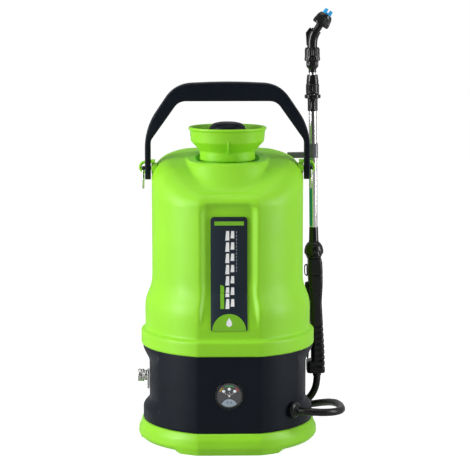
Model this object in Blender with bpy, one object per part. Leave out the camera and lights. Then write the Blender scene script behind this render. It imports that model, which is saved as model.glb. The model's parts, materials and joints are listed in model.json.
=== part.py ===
"""Hand-carried electric sprayer, 5 litres: tank, powered base, bail handle and telescopic lance.

The origin is on the floor under the middle of the tank. +Z is up and the front faces -Y.
Sizes are in millimetres and each mesh is built in metres.
"""

import math

import bmesh
import bpy
from mathutils import Matrix, Vector

MM = 0.001
GAP = 0.3  # between pieces that touch

# Base
TRAY_R, TRAY_Z = 107.6, 25.5
FRONT_HALF_WIDTH = 36.8  # half the width of the flat at the front of base and tank
HOUSING_R, HOUSING_Z0, HOUSING_Z1 = 102.0, 25.8, 117.0
NICHE_DEPTH, NICHE_Z0, NICHE_Z1 = 7.5, 45.0, 97.0
WALL = 3.0
COVER_X, COVER_Y, COVER_T = 44.0, 58.0, 3.0
# Tank
TANK_R, TANK_LOW_R = 90.5, 99.0
TANK_FRONT = 33.8  # half the width of the flat above the flare
MOUND_Z, MOUND_R = 337.0, 48.5
NECK_R, NECK_BORE, NECK_TOP = 29.0, 26.4, 350.0
RIM_R, RIM_Z = 46.7, 377.2
CAP_R, CAP_TOP = 22.6, 382.6
# Gauge on the front of the base
GAUGE_Z, GAUGE_R, HOUSING_FRONT = 71.4, 16.6, 95.13
LIGHTS = ((-6.5, 5.0), (0.0, 7.6), (6.5, 5.0))
# Handle and strap loops
PIVOT_Z, LEG_IN, LEG_OUT, BAR_TOP = 327.6, 91.4, 98.4, 430.1
LOOP_Y, LOOP_X, LOOP_Z, LOOP_R, LOOP_ROD = 18.0, 98.6, 325.8, 5.9, 1.8
# Knob in the left niche
KNOB_Z, KNOB_R = 75.8, 7.7
# Lance: its own frame stands at the grip's lower end and leans to the left
LANCE = (109.4, 52.0, 62.9)
LANCE_LEAN = math.radians(0.78)
TUBE_R, TUBE_BORE, INNER_R, INNER_BORE = 4.9, 4.3, 3.9, 3.3
NOZZLE_TILT = math.radians(33.0)
TRIGGER_PIVOT = (-4.2, 112.0)
# Hose
HOSE_R = 4.5
COIL_X, COIL_Y, COIL_R, COIL_Z0 = -5.0, 182.0, 50.0, 1.6
GROMMET = (75.1, -69.0, 48.0)
GROMMET_AIM = (0.829, -0.559, 0.0)
# Places that the hose passes, from the base round to the coil, and from the coil up to the grip.
HOSE_FRONT = ((84.3, -75.2, 48.0), (91.0, -78.6, 48.0), (99.0, -80.4, 47.7), (107.5, -80.2, 47.2),
              (116.0, -77.6, 46.6), (123.5, -72.8, 46.0), (129.4, -66.0, 45.4), (133.2, -57.8, 44.9),
              (134.7, -48.0, 44.3), (134.6, -24.0, 42.5), (131.5, 2.0, 39.4), (125.5, 26.0, 34.8),
              (116.5, 49.5, 28.6), (103.5, 71.5, 21.6), (88.5, 92.0, 14.8), (73.5, 110.0, 9.4),
              (61.5, 127.0, 6.7), (54.2, 145.5, 6.2), (53.2, 151.0, 6.1))
HOSE_REAR = ((12.0, 119.4, 10.4), (18.5, 116.2, 7.6), (32.0, 111.2, 5.2), (45.0, 105.6, 5.0),
             (57.0, 98.8, 6.8), (68.5, 90.8, 10.0), (79.5, 81.8, 14.6), (89.8, 72.8, 20.6),
             (98.8, 64.4, 27.8), (105.8, 57.8, 36.9), (110.3, 53.6, 47.6), (112.0, 52.0, 58.5),
             (112.0, 52.0, 61.0))

LOOKS = {
    "green_plastic": ((0.33, 0.78, 0.08), 0.38, 0.0),
    "navy_plastic": ((0.014, 0.019, 0.030), 0.45, 0.0),
    "black_plastic": ((0.012, 0.013, 0.015), 0.42, 0.0),
    "black_rubber": ((0.015, 0.015, 0.016), 0.7, 0.0),
    "label_film": ((0.020, 0.030, 0.042), 0.35, 0.0),
    "gauge_grey": ((0.085, 0.085, 0.090), 0.35, 0.0),
    "gauge_light": ((0.85, 0.88, 0.90), 0.25, 0.0),
    "button_grey": ((0.38, 0.44, 0.50), 0.4, 0.0),
    "nickel": ((0.62, 0.62, 0.60), 0.25, 1.0),
    "steel": ((0.68, 0.67, 0.65), 0.22, 1.0),
    "clip_grey": ((0.22, 0.23, 0.25), 0.45, 0.0),
    "blue_plastic": ((0.0, 0.30, 0.75), 0.4, 0.0),
    "mesh_white": ((0.75, 0.76, 0.74), 0.5, 0.0),
    "cell_blue": ((0.05, 0.16, 0.45), 0.4, 0.0),
    "board_green": ((0.02, 0.20, 0.08), 0.5, 0.0),
}


def clear_scene():
    for old in list(bpy.data.objects):
        bpy.data.objects.remove(old, do_unlink=True)


def look(name):
    found = bpy.data.materials.get(name)
    if found:
        return found
    colour, roughness, metallic = LOOKS[name]
    made = bpy.data.materials.new(name)
    made.use_nodes = True
    shader = made.node_tree.nodes["Principled BSDF"]
    shader.inputs["Base Color"].default_value = (*colour, 1.0)
    shader.inputs["Roughness"].default_value = roughness
    shader.inputs["Metallic"].default_value = metallic
    return made


def solid(name, points, faces, finish, at=(0.0, 0.0, 0.0), turn=None, parent=None, sharp=35.0):
    """A closed mesh from points in millimetres, placed at a point of its parent's frame."""
    mesh = bpy.data.meshes.new(name)
    mesh.from_pydata([[c * MM for c in p] for p in points], [], faces)
    bm = bmesh.new()
    bm.from_mesh(mesh)
    bmesh.ops.remove_doubles(bm, verts=bm.verts, dist=1e-6)
    bmesh.ops.connect_verts_nonplanar(bm, angle_limit=math.radians(0.02), faces=bm.faces)
    bmesh.ops.recalc_face_normals(bm, faces=bm.faces)
    bm.to_mesh(mesh)
    bm.free()
    mesh.shade_smooth()
    mesh.set_sharp_from_angle(angle=math.radians(sharp))
    mesh.materials.append(look(finish))
    made = bpy.data.objects.new(name, mesh)
    bpy.context.scene.collection.objects.link(made)
    made.parent = parent
    made.location = [c * MM for c in at]
    if turn:
        made.rotation_euler = turn
    return made


def lofted(name, loops, finish, ring=False, hub=False, **place):
    """Faces between loops of equally many points, with flat ends, or joined end to end as a ring. With a
    hub, each end is a fan about its middle."""
    n = len(loops[0])
    points = [p for loop in loops for p in loop]
    faces = []
    for k in range(len(loops) if ring else len(loops) - 1):
        a = k * n
        b = (k + 1) % len(loops) * n
        for i in range(n):
            j = (i + 1) % n
            faces.append((a + i, a + j, b + j, b + i))
    for end in () if ring else (0, len(points) - n):
        if hub:
            points.append(tuple(sum(c) / n for c in zip(*points[end:end + n])))
            faces += [(end + i, end + (i + 1) % n, len(points) - 1) for i in range(n)]
        else:
            faces.append(tuple(range(end, end + n)))
    return solid(name, points, faces, finish, **place)


def turned(name, outline, finish, steps=24, **place):
    """A lathe piece about its own Z, from an outline of (radius, height) that starts and ends on the
    axis, or that runs once round a ring's section."""
    points = []
    rows = []
    for radius, height in outline:
        if radius < 1e-6:
            rows.append([len(points)])
            points.append((0.0, 0.0, height))
            continue
        rows.append(list(range(len(points), len(points) + steps)))
        for i in range(steps):
            angle = 2 * math.pi * i / steps
            points.append((radius * math.cos(angle), radius * math.sin(angle), height))
    faces = []
    pairs = list(zip(rows, rows[1:]))
    if len(rows[0]) > 1:
        pairs.append((rows[-1], rows[0]))
    for a, b in pairs:
        for i in range(steps):
            j = (i + 1) % steps
            quad = [a[i % len(a)], a[j % len(a)], b[j % len(b)], b[i % len(b)]]
            face = list(dict.fromkeys(quad))
            if len(face) > 2:
                faces.append(face)
    return solid(name, points, faces, finish, **place)


def prism(name, outline, y0, y1, finish, **place):
    """An outline of (x, z) drawn out along Y."""
    loops = [[(x, y, z) for x, z in outline] for y in (y0, y1)]
    return lofted(name, loops, finish, **place)


def box(name, x, y, z, finish, **place):
    outline = [(x[0], z[0]), (x[1], z[0]), (x[1], z[1]), (x[0], z[1])]
    return prism(name, outline, y[0], y[1], finish, **place)


def rod(name, start, end, radius, finish, steps=16, **place):
    """A cylinder from one point to another."""
    a, b = Vector(start), Vector(end)
    aim = (b - a).to_track_quat("Z", "Y")
    loops = []
    for middle in (a, b):
        ring = []
        for i in range(steps):
            angle = 0.13 + 2 * math.pi * i / steps
            ring.append(middle + aim @ Vector((radius * math.cos(angle), radius * math.sin(angle), 0)))
        loops.append(ring)
    return lofted(name, loops, finish, **place)


def swept(name, path, radius, finish, ring=False, steps=8, **place):
    """A rod along a path; radius may be one value for each point."""
    count = len(path)
    radii = radius if isinstance(radius, (list, tuple)) else [radius] * count
    points = [Vector(p) for p in path]
    loops = []
    side = None
    for k, p in enumerate(points):
        before = points[k - 1] if ring or k else p
        after = points[(k + 1) % count] if ring or k < count - 1 else p
        along = (after - before).normalized()
        if side is None:
            side = along.orthogonal().normalized()
        side = (side - along * side.dot(along)).normalized()
        up = along.cross(side)
        turns = [2 * math.pi * i / steps for i in range(steps)]
        loops.append([p + (side * math.cos(t) + up * math.sin(t)) * radii[k] for t in turns])
    return lofted(name, loops, finish, ring=ring, **place)


def hidden(helper):
    helper.hide_render = True
    helper.display_type = "WIRE"
    return helper


def boolean(target, helper, operation):
    step = target.modifiers.new(operation.lower(), "BOOLEAN")
    step.operation = operation
    step.object = hidden(helper)
    step.solver = "EXACT"
    return target


def cut(target, helper):
    return boolean(target, helper, "DIFFERENCE")


def join(target, helper):
    return boolean(target, helper, "UNION")


def bevel(target, width, segments=2, angle=50.0):
    step = target.modifiers.new("bevel", "BEVEL")
    step.width = width * MM
    step.segments = segments
    step.limit_method = "ANGLE"
    step.angle_limit = math.radians(angle)
    return target


def rounded(corners, steps=5):
    """An outline whose corners, given as (x, z, radius), become arcs."""
    outline = []
    for i, (x, z, radius) in enumerate(corners):
        here = Vector((x, z))
        if radius <= 0:
            outline.append((x, z))
            continue
        a = (Vector(corners[i - 1][:2]) - here).normalized()
        b = (Vector(corners[(i + 1) % len(corners)][:2]) - here).normalized()
        half = a.angle(b) / 2
        middle = here + (a + b).normalized() * radius / math.sin(half)
        first = here + a * radius / math.tan(half) - middle
        turn = first.angle_signed(here + b * radius / math.tan(half) - middle)
        for k in range(steps + 1):
            p = middle + Matrix.Rotation(-turn * k / steps, 2) @ first
            outline.append((p.x, p.y))
    return outline


# Columns round the body, as shares of the way from the front flat's corner to the back. Those at
# 54, 56, 124 and 126 degrees are the ends of the niches.
SIDE_SHARES = (0.0, 0.07, 0.14, 0.2068, 0.2194, 0.28, 0.34, 0.39, 0.4334, 0.48, 0.54, 0.60, 0.6475, 0.66,
               0.73, 0.80, 0.87, 0.935, 1.0)
FLAT_SHARES = (-1.0, -0.5, 0.0, 0.5)


def plan(radius, half_width):
    """Points round a circle with a flat at the front, anticlockwise from the flat's left end."""
    corner = math.asin(half_width / radius)
    front = -math.sqrt(radius * radius - half_width * half_width)
    outline = [(share * half_width, front) for share in FLAT_SHARES]
    side = []
    for share in SIDE_SHARES:
        angle = corner + (math.pi - corner) * share
        side.append((radius * math.sin(angle), -radius * math.cos(angle)))
    outline += side
    outline += [(-x, y) for x, y in reversed(side[1:-1])]
    return outline


def level(outline, z):
    return [(x, y, z) for x, y in outline]


def make_tray():
    flat = FRONT_HALF_WIDTH
    rows = [
        level(plan(60.0, 20.0), 4.0),
        level(plan(103.5, flat), 4.0),
        level(plan(TRAY_R, flat), 8.5),
        level(plan(TRAY_R - 0.6, flat), 18.5),
        level(plan(103.2, flat), TRAY_Z),
        level(plan(95.5, 34.0), TRAY_Z),
        level(plan(95.0, 34.0), 7.0),
        level(plan(60.0, 20.0), 7.0),
    ]
    tray = lofted("foot_tray", rows, "green_plastic")
    plinth = prism("plinth", [(-60, 0), (60, 0), (63, 5), (-63, 5)], -130, 130, "green_plastic")
    disc = lofted("plinth_disc", [level(plan(104.5, flat), z) for z in (-1, 6)], "green_plastic")
    boolean(plinth, disc, "INTERSECT")
    join(tray, plinth)
    for side in (-1, 1):
        foot = box("side_foot", sorted((side * 92, side * 103.5)), (-11, 11), (0, 5), "green_plastic")
        join(tray, foot)
        scoop = swept("scoop", [(side * 96, y, 22.5 - abs(y) * 0.03) for y in (-52, -26, 0, 26, 52)],
                      9.0, "green_plastic", steps=12, at=(side * 16.5, 0, 0))
        cut(tray, scoop)
    ledge = box("cover_seat", (-COVER_X, COVER_X), (-COVER_Y, COVER_Y), (-1, COVER_T + GAP), "green_plastic")
    cut(tray, ledge)
    opening = box("cover_opening", (8 - COVER_X, COVER_X - 8), (8 - COVER_Y, COVER_Y - 8), (-1, 9),
                  "green_plastic")
    cut(tray, opening)
    cover = box("bottom_cover", (GAP - COVER_X, COVER_X - GAP), (GAP - COVER_Y, COVER_Y - GAP),
                (0, COVER_T), "navy_plastic")
    number = 0
    for x in (4 - COVER_X, COVER_X - 4):
        for y in (4 - COVER_Y, COVER_Y - 4):
            number += 1
            for target in (tray, cover):
                cut(target, rod("screw_bore", (x, y, -1), (x, y, 6.4), 1.6, "nickel"))
            cut(cover, rod("screw_sink", (x, y, -1), (x, y, 1.9), 3.1, "nickel"))
            outline = [(0, 0.6), (2.7, 0.6), (2.7, 1.6), (1.3, 1.6), (1.3, 6.1), (0, 6.1)]
            turned(f"cover_screw_{number}", outline, "nickel", steps=12, at=(x, y, 0))


def niche_share(z):
    """How deep the niche is at a height, from 0 to 1, with rounded ends."""
    into = min(z - NICHE_Z0, (NICHE_Z1 - z) * 0.78)
    if into <= 0:
        return 0.0
    into = min(into / 7.0, 1.0)
    return math.sqrt(1 - (1 - into) ** 2)


def make_housing():
    columns = len(plan(HOUSING_R, FRONT_HALF_WIDTH))
    first = len(FLAT_SHARES)
    side = SIDE_SHARES
    deep = set()
    for k in range(side.index(0.2194), side.index(0.6475) + 1):
        deep |= {first + k, columns - k}
    heights = [HOUSING_Z0, 27.5, NICHE_Z0, 46.5, 48.5, 52.0, 88.0, 92.5, 95.0, NICHE_Z1, 115.5, HOUSING_Z1]
    outer = []
    inner = []
    for z in heights:
        edge = 0.7 if z in (HOUSING_Z0, HOUSING_Z1) else 0.0
        for rows, radius, half in ((outer, HOUSING_R - edge, FRONT_HALF_WIDTH),
                                   (inner, HOUSING_R - WALL, FRONT_HALF_WIDTH - 1)):
            row = []
            for i, (x, y) in enumerate(plan(radius, half)):
                scale = 1 - NICHE_DEPTH * niche_share(z) / radius if i in deep else 1.0
                row.append((x * scale, y * scale, z))
            rows.append(row)
    housing = lofted("base_housing", outer + inner[::-1], "navy_plastic", ring=True)
    cut(housing, rod("gauge_bore", (0, -80, GAUGE_Z), (0, -110, GAUGE_Z), 16.1, "navy_plastic", steps=32))
    out = Vector(GROMMET_AIM)
    middle = Vector(GROMMET)
    cut(housing, rod("hose_bore", middle - out * 22, middle + out * 12, 7.0, "navy_plastic", steps=20))
    cut(housing, rod("socket_bore", (0, 90, 62), (0, 110, 62), 8.0, "navy_plastic", steps=20))


def curve_through(stops, value):
    """A height read off straight runs between (place, height) stops."""
    if value <= stops[0][0]:
        return stops[0][1]
    for (a, low), (b, high) in zip(stops, stops[1:]):
        if value <= b:
            return low + (high - low) * (value - a) / (b - a)
    return stops[-1][1]


TOP_SLOPE = ((-84, 303.0), (-70, 305.5), (-50, 316.0), (-25, 330.0), (0, 338.5), (25, 343.5), (50, 346.5))


def tank_top(x, y, edge):
    """The height of the tank's top surface; edge is how far in from the wall the place is."""
    angle = abs(math.degrees(math.atan2(x, -y)))
    side = min(max((angle - 18) / 50, 0), 1)
    radius = 12 + 11 * side * side * (3 - 2 * side)
    inside = max(radius - edge, 0)
    drop = radius - math.sqrt(radius * radius - inside * inside)
    shoulder = curve_through(TOP_SLOPE, y) - drop
    if y < 0 and abs(x) < MOUND_R:
        past = -y - math.sqrt(MOUND_R ** 2 - x * x)
    else:
        past = 3 * (math.hypot(x, y) - MOUND_R)
    mound = MOUND_Z - max(past, 0) * 1.62
    blend = 2.5
    high = max(shoulder, mound)
    return high + blend * math.log(math.exp((shoulder - high) / blend) + math.exp((mound - high) / blend))


WALL_ROWS = ((117.3, 102.4, 36.6), (119.0, 104.0, 36.8), (133.0, 104.0, 36.8), (135.3, 102.8, 36.7),
             (137.0, 99.3, 36.5), (165.0, TANK_LOW_R, 36.5), (173.0, 97.8, 36.0), (180.5, 94.7, 35.0),
             (188.0, 91.8, 34.2), (196.0, 90.7, 33.9), (240.0, TANK_R, TANK_FRONT),
             (278.0, TANK_R, TANK_FRONT))
PANEL_ROWS = ((150.0, 36.3, 35.8, 91.8), (158.0, 36.3, 33.5, 90.6), (166.0, 36.2, 31.0, 88.6),
              (180.0, 35.2, 28.4, 84.2), (190.0, 34.2, 27.4, 81.0), (198.0, 33.9, 27.2, 79.8),
              (285.0, 33.8, 27.1, 79.5), (289.0, 33.2, 26.4, 79.7), (293.0, 31.2, 25.0, 82.0),
              (296.5, 27.5, 23.0, 84.6))


def make_tank():
    outer = [level(plan(r, half), z) for z, r, half in WALL_ROWS]
    wall = plan(TANK_R, TANK_FRONT)
    for edge in (0.0, 1.2, 3.5, 7.0, 12.0, 18.0, 26.0):
        row = []
        for x, y in wall:
            scale = 1 - edge / math.hypot(x, y)
            row.append((x * scale, y * scale, tank_top(x * scale, y * scale, edge)))
        outer.append(row)
    for share in (0.3, 0.6, 0.85, 1.0):
        row = []
        for x, y in wall:
            out = math.hypot(x, y)
            reach = (out - 26.0) * (1 - share) + 38.5 * share
            px, py = x / out * reach, y / out * reach
            row.append((px, py, tank_top(px, py, 40.0)))
        outer.append(row)
    neck = [(x / math.hypot(x, y), y / math.hypot(x, y)) for x, y in wall]
    for radius, z in ((37.6, MOUND_Z), (NECK_R, MOUND_Z), (NECK_R, NECK_TOP), (NECK_BORE, NECK_TOP),
                      (NECK_BORE, 333.0)):
        outer.append([(x * radius, y * radius, z) for x, y in neck])
    inner = []
    inside = plan(TANK_R - WALL, 43.4)
    for reach, drop in ((0.42, 4.5), (0.68, 4.5), (0.86, 5.5), (0.95, 9.0), (1.0, 16.0)):
        row = []
        for x, y in inside:
            px, py = x * reach, y * reach
            z = tank_top(px, py, math.hypot(x, y) * (1 - reach) + 5.0) - drop
            row.append((px, py, min(z, 333.5) if reach < 0.5 else z))
        inner.append(row)
    for z, r, half in ((272.0, 87.5, 43.4), (198.0, 87.5, 43.4), (180.0, 90.5, 44.0), (165.0, 95.5, 46.0),
                       (124.0, 96.0, 46.0)):
        inner.append(level(plan(r, half), z))
    inner.append(level(plan(93.0, 44.0), 120.8))
    base = [level(plan(99.0, 36.0), 117.3)]
    tank = lofted("tank_shell", base + outer + inner, "green_plastic", hub=True)
    rows = []
    for z, wide, narrow, floor in PANEL_ROWS:
        skin = min(-floor - (4.8 if z < 200 else 3.8), -84.2)
        corners = [(-wide - 3, -120), (wide + 3, -120), (wide, skin), (narrow, -floor), (-narrow, -floor),
                   (-wide, skin)]
        rows.append([(x, y, z) for x, y in corners])
    cut(tank, lofted("panel_recess", rows, "green_plastic"))
    for side in (-1, 1):
        join(tank, rod("pivot_boss", (side * 84, 0, PIVOT_Z), (side * 90.6, 0, PIVOT_Z), 6.5, "green_plastic",
                       steps=20))
    cut(tank, rod("suction_bore", (30, 0, 110), (30, 0, 130), 5.3, "green_plastic"))


def panel_floor(z):
    """How far forward the recess's floor stands at a height."""
    stops = [(row[0], row[3]) for row in PANEL_ROWS[:7]]
    return curve_through([(140.0, 92.1)] + stops, z)


def make_label():
    rows = []
    heights = [147.0, 150.0, 158.0, 166.0, 173.0, 180.0, 190.0, 198.0, 240.0, 275.5, 279.0]
    for z in heights:
        half = 21.3 if z < 278 else 18.0
        back = -(max(panel_floor(z), 79.5) + 0.4)
        rows.append([(-half, back, z), (-half, back - 0.7, z), (half, back - 0.7, z), (half, back, z)])
    lofted("label_plate", rows, "label_film")


def make_filler():
    outline = [(17.9, 346.5), (17.9, 354.2), (24.0, 355.0), (38.5, 358.6), (41.6, 361.5), (42.6, 372.0),
               (43.4, 375.6), (44.9, RIM_Z), (46.2, 376.6), (RIM_R, 375.0), (46.0, 373.6), (44.9, 373.0),
               (43.7, 360.2), (42.8, 359.0), (33.9, 349.6), (33.0, 348.2), (33.0, 337.6), (29.5, 337.6),
               (29.5, 352.2), (20.4, 352.2), (20.4, 346.5)]
    funnel = turned("filler_funnel", outline, "green_plastic", steps=40)
    fin = prism("funnel_fin", [(-33.4, 346), (-37, 346), (-45.3, 359), (-45.3, 363), (-43.0, 363)], -0.9, 0.9,
                "green_plastic", turn=(0, 0, math.radians(90)))
    join(funnel, fin)
    basket = [(0, 300), (22.5, 300), (24.0, 303), (24.0, 349.8), (28.8, 350.3), (28.8, 351.8), (22.3, 351.8),
              (22.3, 303.5), (20.5, 301.8), (0, 301.8)]
    strainer = turned("strainer_basket", basket, "mesh_white", steps=24)
    for turn in (0, 60, 120):
        slot = box("strainer_slot", (-40, 40), (-6, 6), (309, 340), "mesh_white",
                   turn=(0, 0, math.radians(turn + 7.5)))
        cut(strainer, slot)
    cap = [(0, CAP_TOP), (10, CAP_TOP - 0.2), (16.5, 381.0), (20.4, 377.8), (22.2, 373.5), (CAP_R, 369.0),
           (CAP_R, 358.5), (21.8, 357.5), (15.6, 357.5), (15.6, 345.5), (0, 345.5)]
    turned("tank_cap", cap, "navy_plastic", steps=32)
    turned("cap_gasket", [(16.0, 355.4), (21.0, 355.4), (21.0, 357.1), (16.0, 357.1)], "black_rubber")


def half_moon(inside):
    """The button's outline: the part of the dial under an arc, smaller by a margin all round."""
    dial, arc, drop = 13.4 - inside, 9.5 - inside, 13.7
    meet = -(dial * dial - arc * arc + drop * drop) / (2 * drop)
    half = math.sqrt(dial * dial - meet * meet)
    low = math.atan2(half, -meet)
    high = math.atan2(half, meet + drop)
    steps = 7
    outline = []
    for k in range(steps + 1):
        angle = low - 2 * low * k / steps
        outline.append((-dial * math.sin(angle), -dial * math.cos(angle)))
    for k in range(1, steps):
        angle = high - 2 * high * k / steps
        outline.append((arc * math.sin(angle), -drop + arc * math.cos(angle)))
    return outline


def make_gauge():
    front = HOUSING_FRONT
    flat = math.radians(90)
    middle = (0, -front, GAUGE_Z)
    ring = [(15.2, 1.2), (GAUGE_R, 0.9), (GAUGE_R, GAP), (15.8, GAP), (15.8, -6.0), (15.2, -6.0)]
    turned("gauge_bezel", ring, "black_plastic", steps=32, at=middle, turn=(flat, 0, 0))
    face = turned("gauge_face", [(0, 0.7), (14.9, 0.7), (14.9, -1.2), (0, -1.2)], "gauge_grey", steps=32,
                  at=middle, turn=(flat, 0, 0))
    hole = prism("button_hole", half_moon(-0.35), -4, 4, "gauge_grey", at=middle)
    cut(face, hole)
    lights = box("gauge_lights", (-9.5, 9.5), (3.0, 4.6), (-1.5, 10.5), "gauge_light", at=middle)
    for x, z in LIGHTS:
        cut(face, rod("light_hole", (x, -4, z), (x, 4, z), 2.1, "gauge_grey", steps=12, at=middle))
        join(lights, rod("light", (x, -0.9, z), (x, 4, z), 1.75, "gauge_light", steps=12, at=middle))
    prism("test_button", half_moon(0.0), -1.5, 2.2, "button_grey", at=middle)


def make_knob():
    plate = box("knob_bracket", (-97.2, -94.9), (-8, 8), (60.4, 82.3), "nickel")
    bevel(plate, 0.6, 1)
    join(plate, rod("knob_neck", (-96.5, 0, KNOB_Z), (-100.4, 0, KNOB_Z), 6.4, "nickel", steps=20))
    cut(plate, rod("bracket_hole", (-99, 0, 63.6), (-90, 0, 63.6), 1.6, "nickel", steps=10))
    outline = [(0, 0), (6.9, 0), (KNOB_R, 0.8), (KNOB_R, 7.2), (6.9, 7.9), (0, 7.9)]
    turned("side_knob", outline, "nickel", steps=24, at=(-100.7, 0, KNOB_Z), turn=(0, math.radians(-90), 0))


def make_charge_port():
    away = math.radians(-90)
    turned("charge_socket", [(3.2, 0.9), (7.6, 0.9), (7.6, -9), (3.2, -9)], "black_plastic", steps=20,
           at=(0, 102.0, 62), turn=(away, 0, 0))
    flap = box("charge_flap", (-10, 10), (0.9, 2.9), (-21.0, 0.0), "black_rubber", at=(0, 102.5, 73.5))
    bevel(flap, 0.8, 1)
    pin = rod("flap_knuckle", (-10, 1.9, 0), (10, 1.9, 0), 1.6, "black_rubber", steps=12, at=(0, 102.5, 73.5))
    join(flap, pin)


def make_inner_works():
    battery = box("battery_pack", (-62, -18), (-30, 40), (9, 47), "cell_blue")
    bevel(battery, 4.0)
    turned("pump_motor", [(0, 0), (16, 0), (16.5, 1), (16.5, 44), (5, 46), (0, 46)], "steel",
           at=(4, 22, 40), turn=(0, math.radians(90), 0))
    head = box("pump_head", (50.6, 72), (4, 40), (22, 62), "black_plastic")
    bevel(head, 2.0)
    box("control_board", (-30, 30), (-78, -76.4), (50, 104), "board_green")
    fitting = [(3.0, 104), (4.4, 104), (4.4, 114), (8, 114.2), (8, 116.5), (5.0, 116.8), (5.0, 121.2),
               (8, 121.4), (8, 136), (3.0, 136)]
    turned("suction_fitting", fitting, "black_plastic", steps=20, at=(30, 0, 0))
    swept("suction_hose", [(30, 0, 103.6), (30, 0, 96), (32, 3, 86), (42, 10, 76), (56, 18, 72), (61, 22, 68),
                           (61, 22, 62.4)], 4.2, "mesh_white")
    aim = Vector(GROMMET_AIM)
    inner_end = Vector(GROMMET) - aim * 17.5
    swept("delivery_hose", [(61, 3.6, 34), (61, -4, 34), (58, -16, 37), (57, -34, 43),
                            tuple(inner_end - aim * 6), tuple(inner_end)], 3.6, "black_rubber")


def make_grommet():
    aim = Vector(GROMMET_AIM)
    turn = aim.to_track_quat("Z", "Y").to_euler()
    outline = [(0, -17), (5.2, -17), (6.6, -15), (6.6, -5.0), (6.6, 1.4), (9.6, 1.4), (9.9, 3.2), (9.2, 5.0),
               (6.4, 6.2), (6.0, 9.5), (0, 9.5)]
    turned("hose_grommet", outline, "black_rubber", steps=20, at=GROMMET, turn=turn)


def smooth_route(stops, spacing):
    """Points about one spacing apart on a smooth curve through the stops."""
    points = [Vector(p) for p in stops]
    padded = [2 * points[0] - points[1]] + points + [2 * points[-1] - points[-2]]
    dense = []
    for a, b, c, d in zip(padded, padded[1:], padded[2:], padded[3:]):
        for k in range(20):
            t = k / 20
            dense.append(0.5 * (2 * b + (c - a) * t + (2 * a - 5 * b + 4 * c - d) * t * t
                                + (3 * b - a - 3 * c + d) * t ** 3))
    dense.append(points[-1])
    lengths = [0.0]
    for a, b in zip(dense, dense[1:]):
        lengths.append(lengths[-1] + (b - a).length)
    count = max(2, round(lengths[-1] / spacing))
    route = []
    k = 0
    for i in range(count + 1):
        want = lengths[-1] * i / count
        while k < len(dense) - 2 and lengths[k + 1] < want:
            k += 1
        share = (want - lengths[k]) / max(lengths[k + 1] - lengths[k], 1e-9)
        route.append(dense[k].lerp(dense[k + 1], min(max(share, 0.0), 1.0)))
    return route


def hose_tube(name, stops):
    curve = bpy.data.curves.new(name, "CURVE")
    curve.dimensions = "3D"
    curve.bevel_depth = HOSE_R * MM
    curve.bevel_resolution = 2
    curve.use_fill_caps = True
    route = smooth_route(stops, HOSE_R * 4.4)
    spline = curve.splines.new("POLY")
    spline.points.add(len(route) - 1)
    for point, place in zip(spline.points, route):
        point.co = (*(place * MM), 1.0)
    curve.materials.append(look("black_rubber"))
    made = bpy.data.objects.new(name, curve)
    bpy.context.scene.collection.objects.link(made)


def make_hose():
    hose_tube("hose_front", HOSE_FRONT)
    hose_tube("hose_rear", HOSE_REAR)
    low, wide = COIL_Z0, 2 * HOSE_R
    section = [(COIL_R - wide, low + 4), (COIL_R - wide + 1.6, low + 0.8), (COIL_R - 5, low),
               (COIL_R + 5, low), (COIL_R + wide - 1.6, low + 0.8), (COIL_R + wide, low + 4),
               (COIL_R + wide, low + 6), (COIL_R + 4.5, low + 15.5), (COIL_R + 1.5, low + 16.8),
               (COIL_R - 1.5, low + 16.8), (COIL_R - 4.5, low + 15.5), (COIL_R - wide, low + 6)]
    turned("hose_coil", section, "black_rubber", steps=36, at=(COIL_X, COIL_Y, 0))
    outside = [(-10.6, 0.2), (10.6, 0.2), (10.6, 8.5), (5.6, 19.9), (-5.6, 19.9), (-10.6, 8.5)]
    inside = [(-9.4, 1.3), (9.4, 1.3), (9.4, 8.2), (5.0, 18.8), (-5.0, 18.8), (-9.4, 8.2)]
    tie = prism("hose_tie", outside, -4.0, 4.0, "black_plastic", at=(COIL_X, COIL_Y + COIL_R, 0),
                turn=(0, 0, math.radians(90)))
    cut(tie, prism("tie_hole", inside, -6, 6, "black_plastic", at=(COIL_X, COIL_Y + COIL_R, 0),
                   turn=(0, 0, math.radians(90))))


def make_handle():
    half = [(-62.6, 428.0, 22.0), (-98.4, 375.1, 75.0), (-LEG_OUT, 314.0, 2.5), (-LEG_IN, 314.0, 2.5),
            (-LEG_IN, 360.6, 10.0), (-57.9, 407.6, 15.0)]
    corners = [(0, BAR_TOP, 0), (-30, 429.6, 0)] + half
    corners += [(-x, z, r) for x, z, r in reversed(half)] + [(30, 429.6, 0)]
    outline = [(x, z - PIVOT_Z) for x, z in rounded(corners)]
    handle = prism("bail_handle", outline, -12, 12, "navy_plastic", at=(0, 0, PIVOT_Z))
    side = [(-10.5, 110, 0), (10.5, 110, 0), (10.5, 62, 8), (7, 38, 8), (7, -13.9, 6.9), (-7, -13.9, 6.9),
            (-7, 38, 8), (-10.5, 62, 8)]
    form = prism("handle_form", [(-y, z) for y, z in rounded(side)], -120, 120, "navy_plastic",
                 at=(0, 0, PIVOT_Z), turn=(0, 0, math.radians(90)))
    boolean(handle, form, "INTERSECT")
    cut(handle, rod("pivot_hole", (-120, 0, 0), (120, 0, 0), 2.8, "navy_plastic", at=(0, 0, PIVOT_Z)))
    bevel(handle, 1.6, 1)
    for side_name, x in (("left", -1), ("right", 1)):
        rod(f"pivot_pin_{side_name}", (x * 90.9, 0, PIVOT_Z), (x * 102.2, 0, PIVOT_Z), 2.45, "black_plastic")


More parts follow.
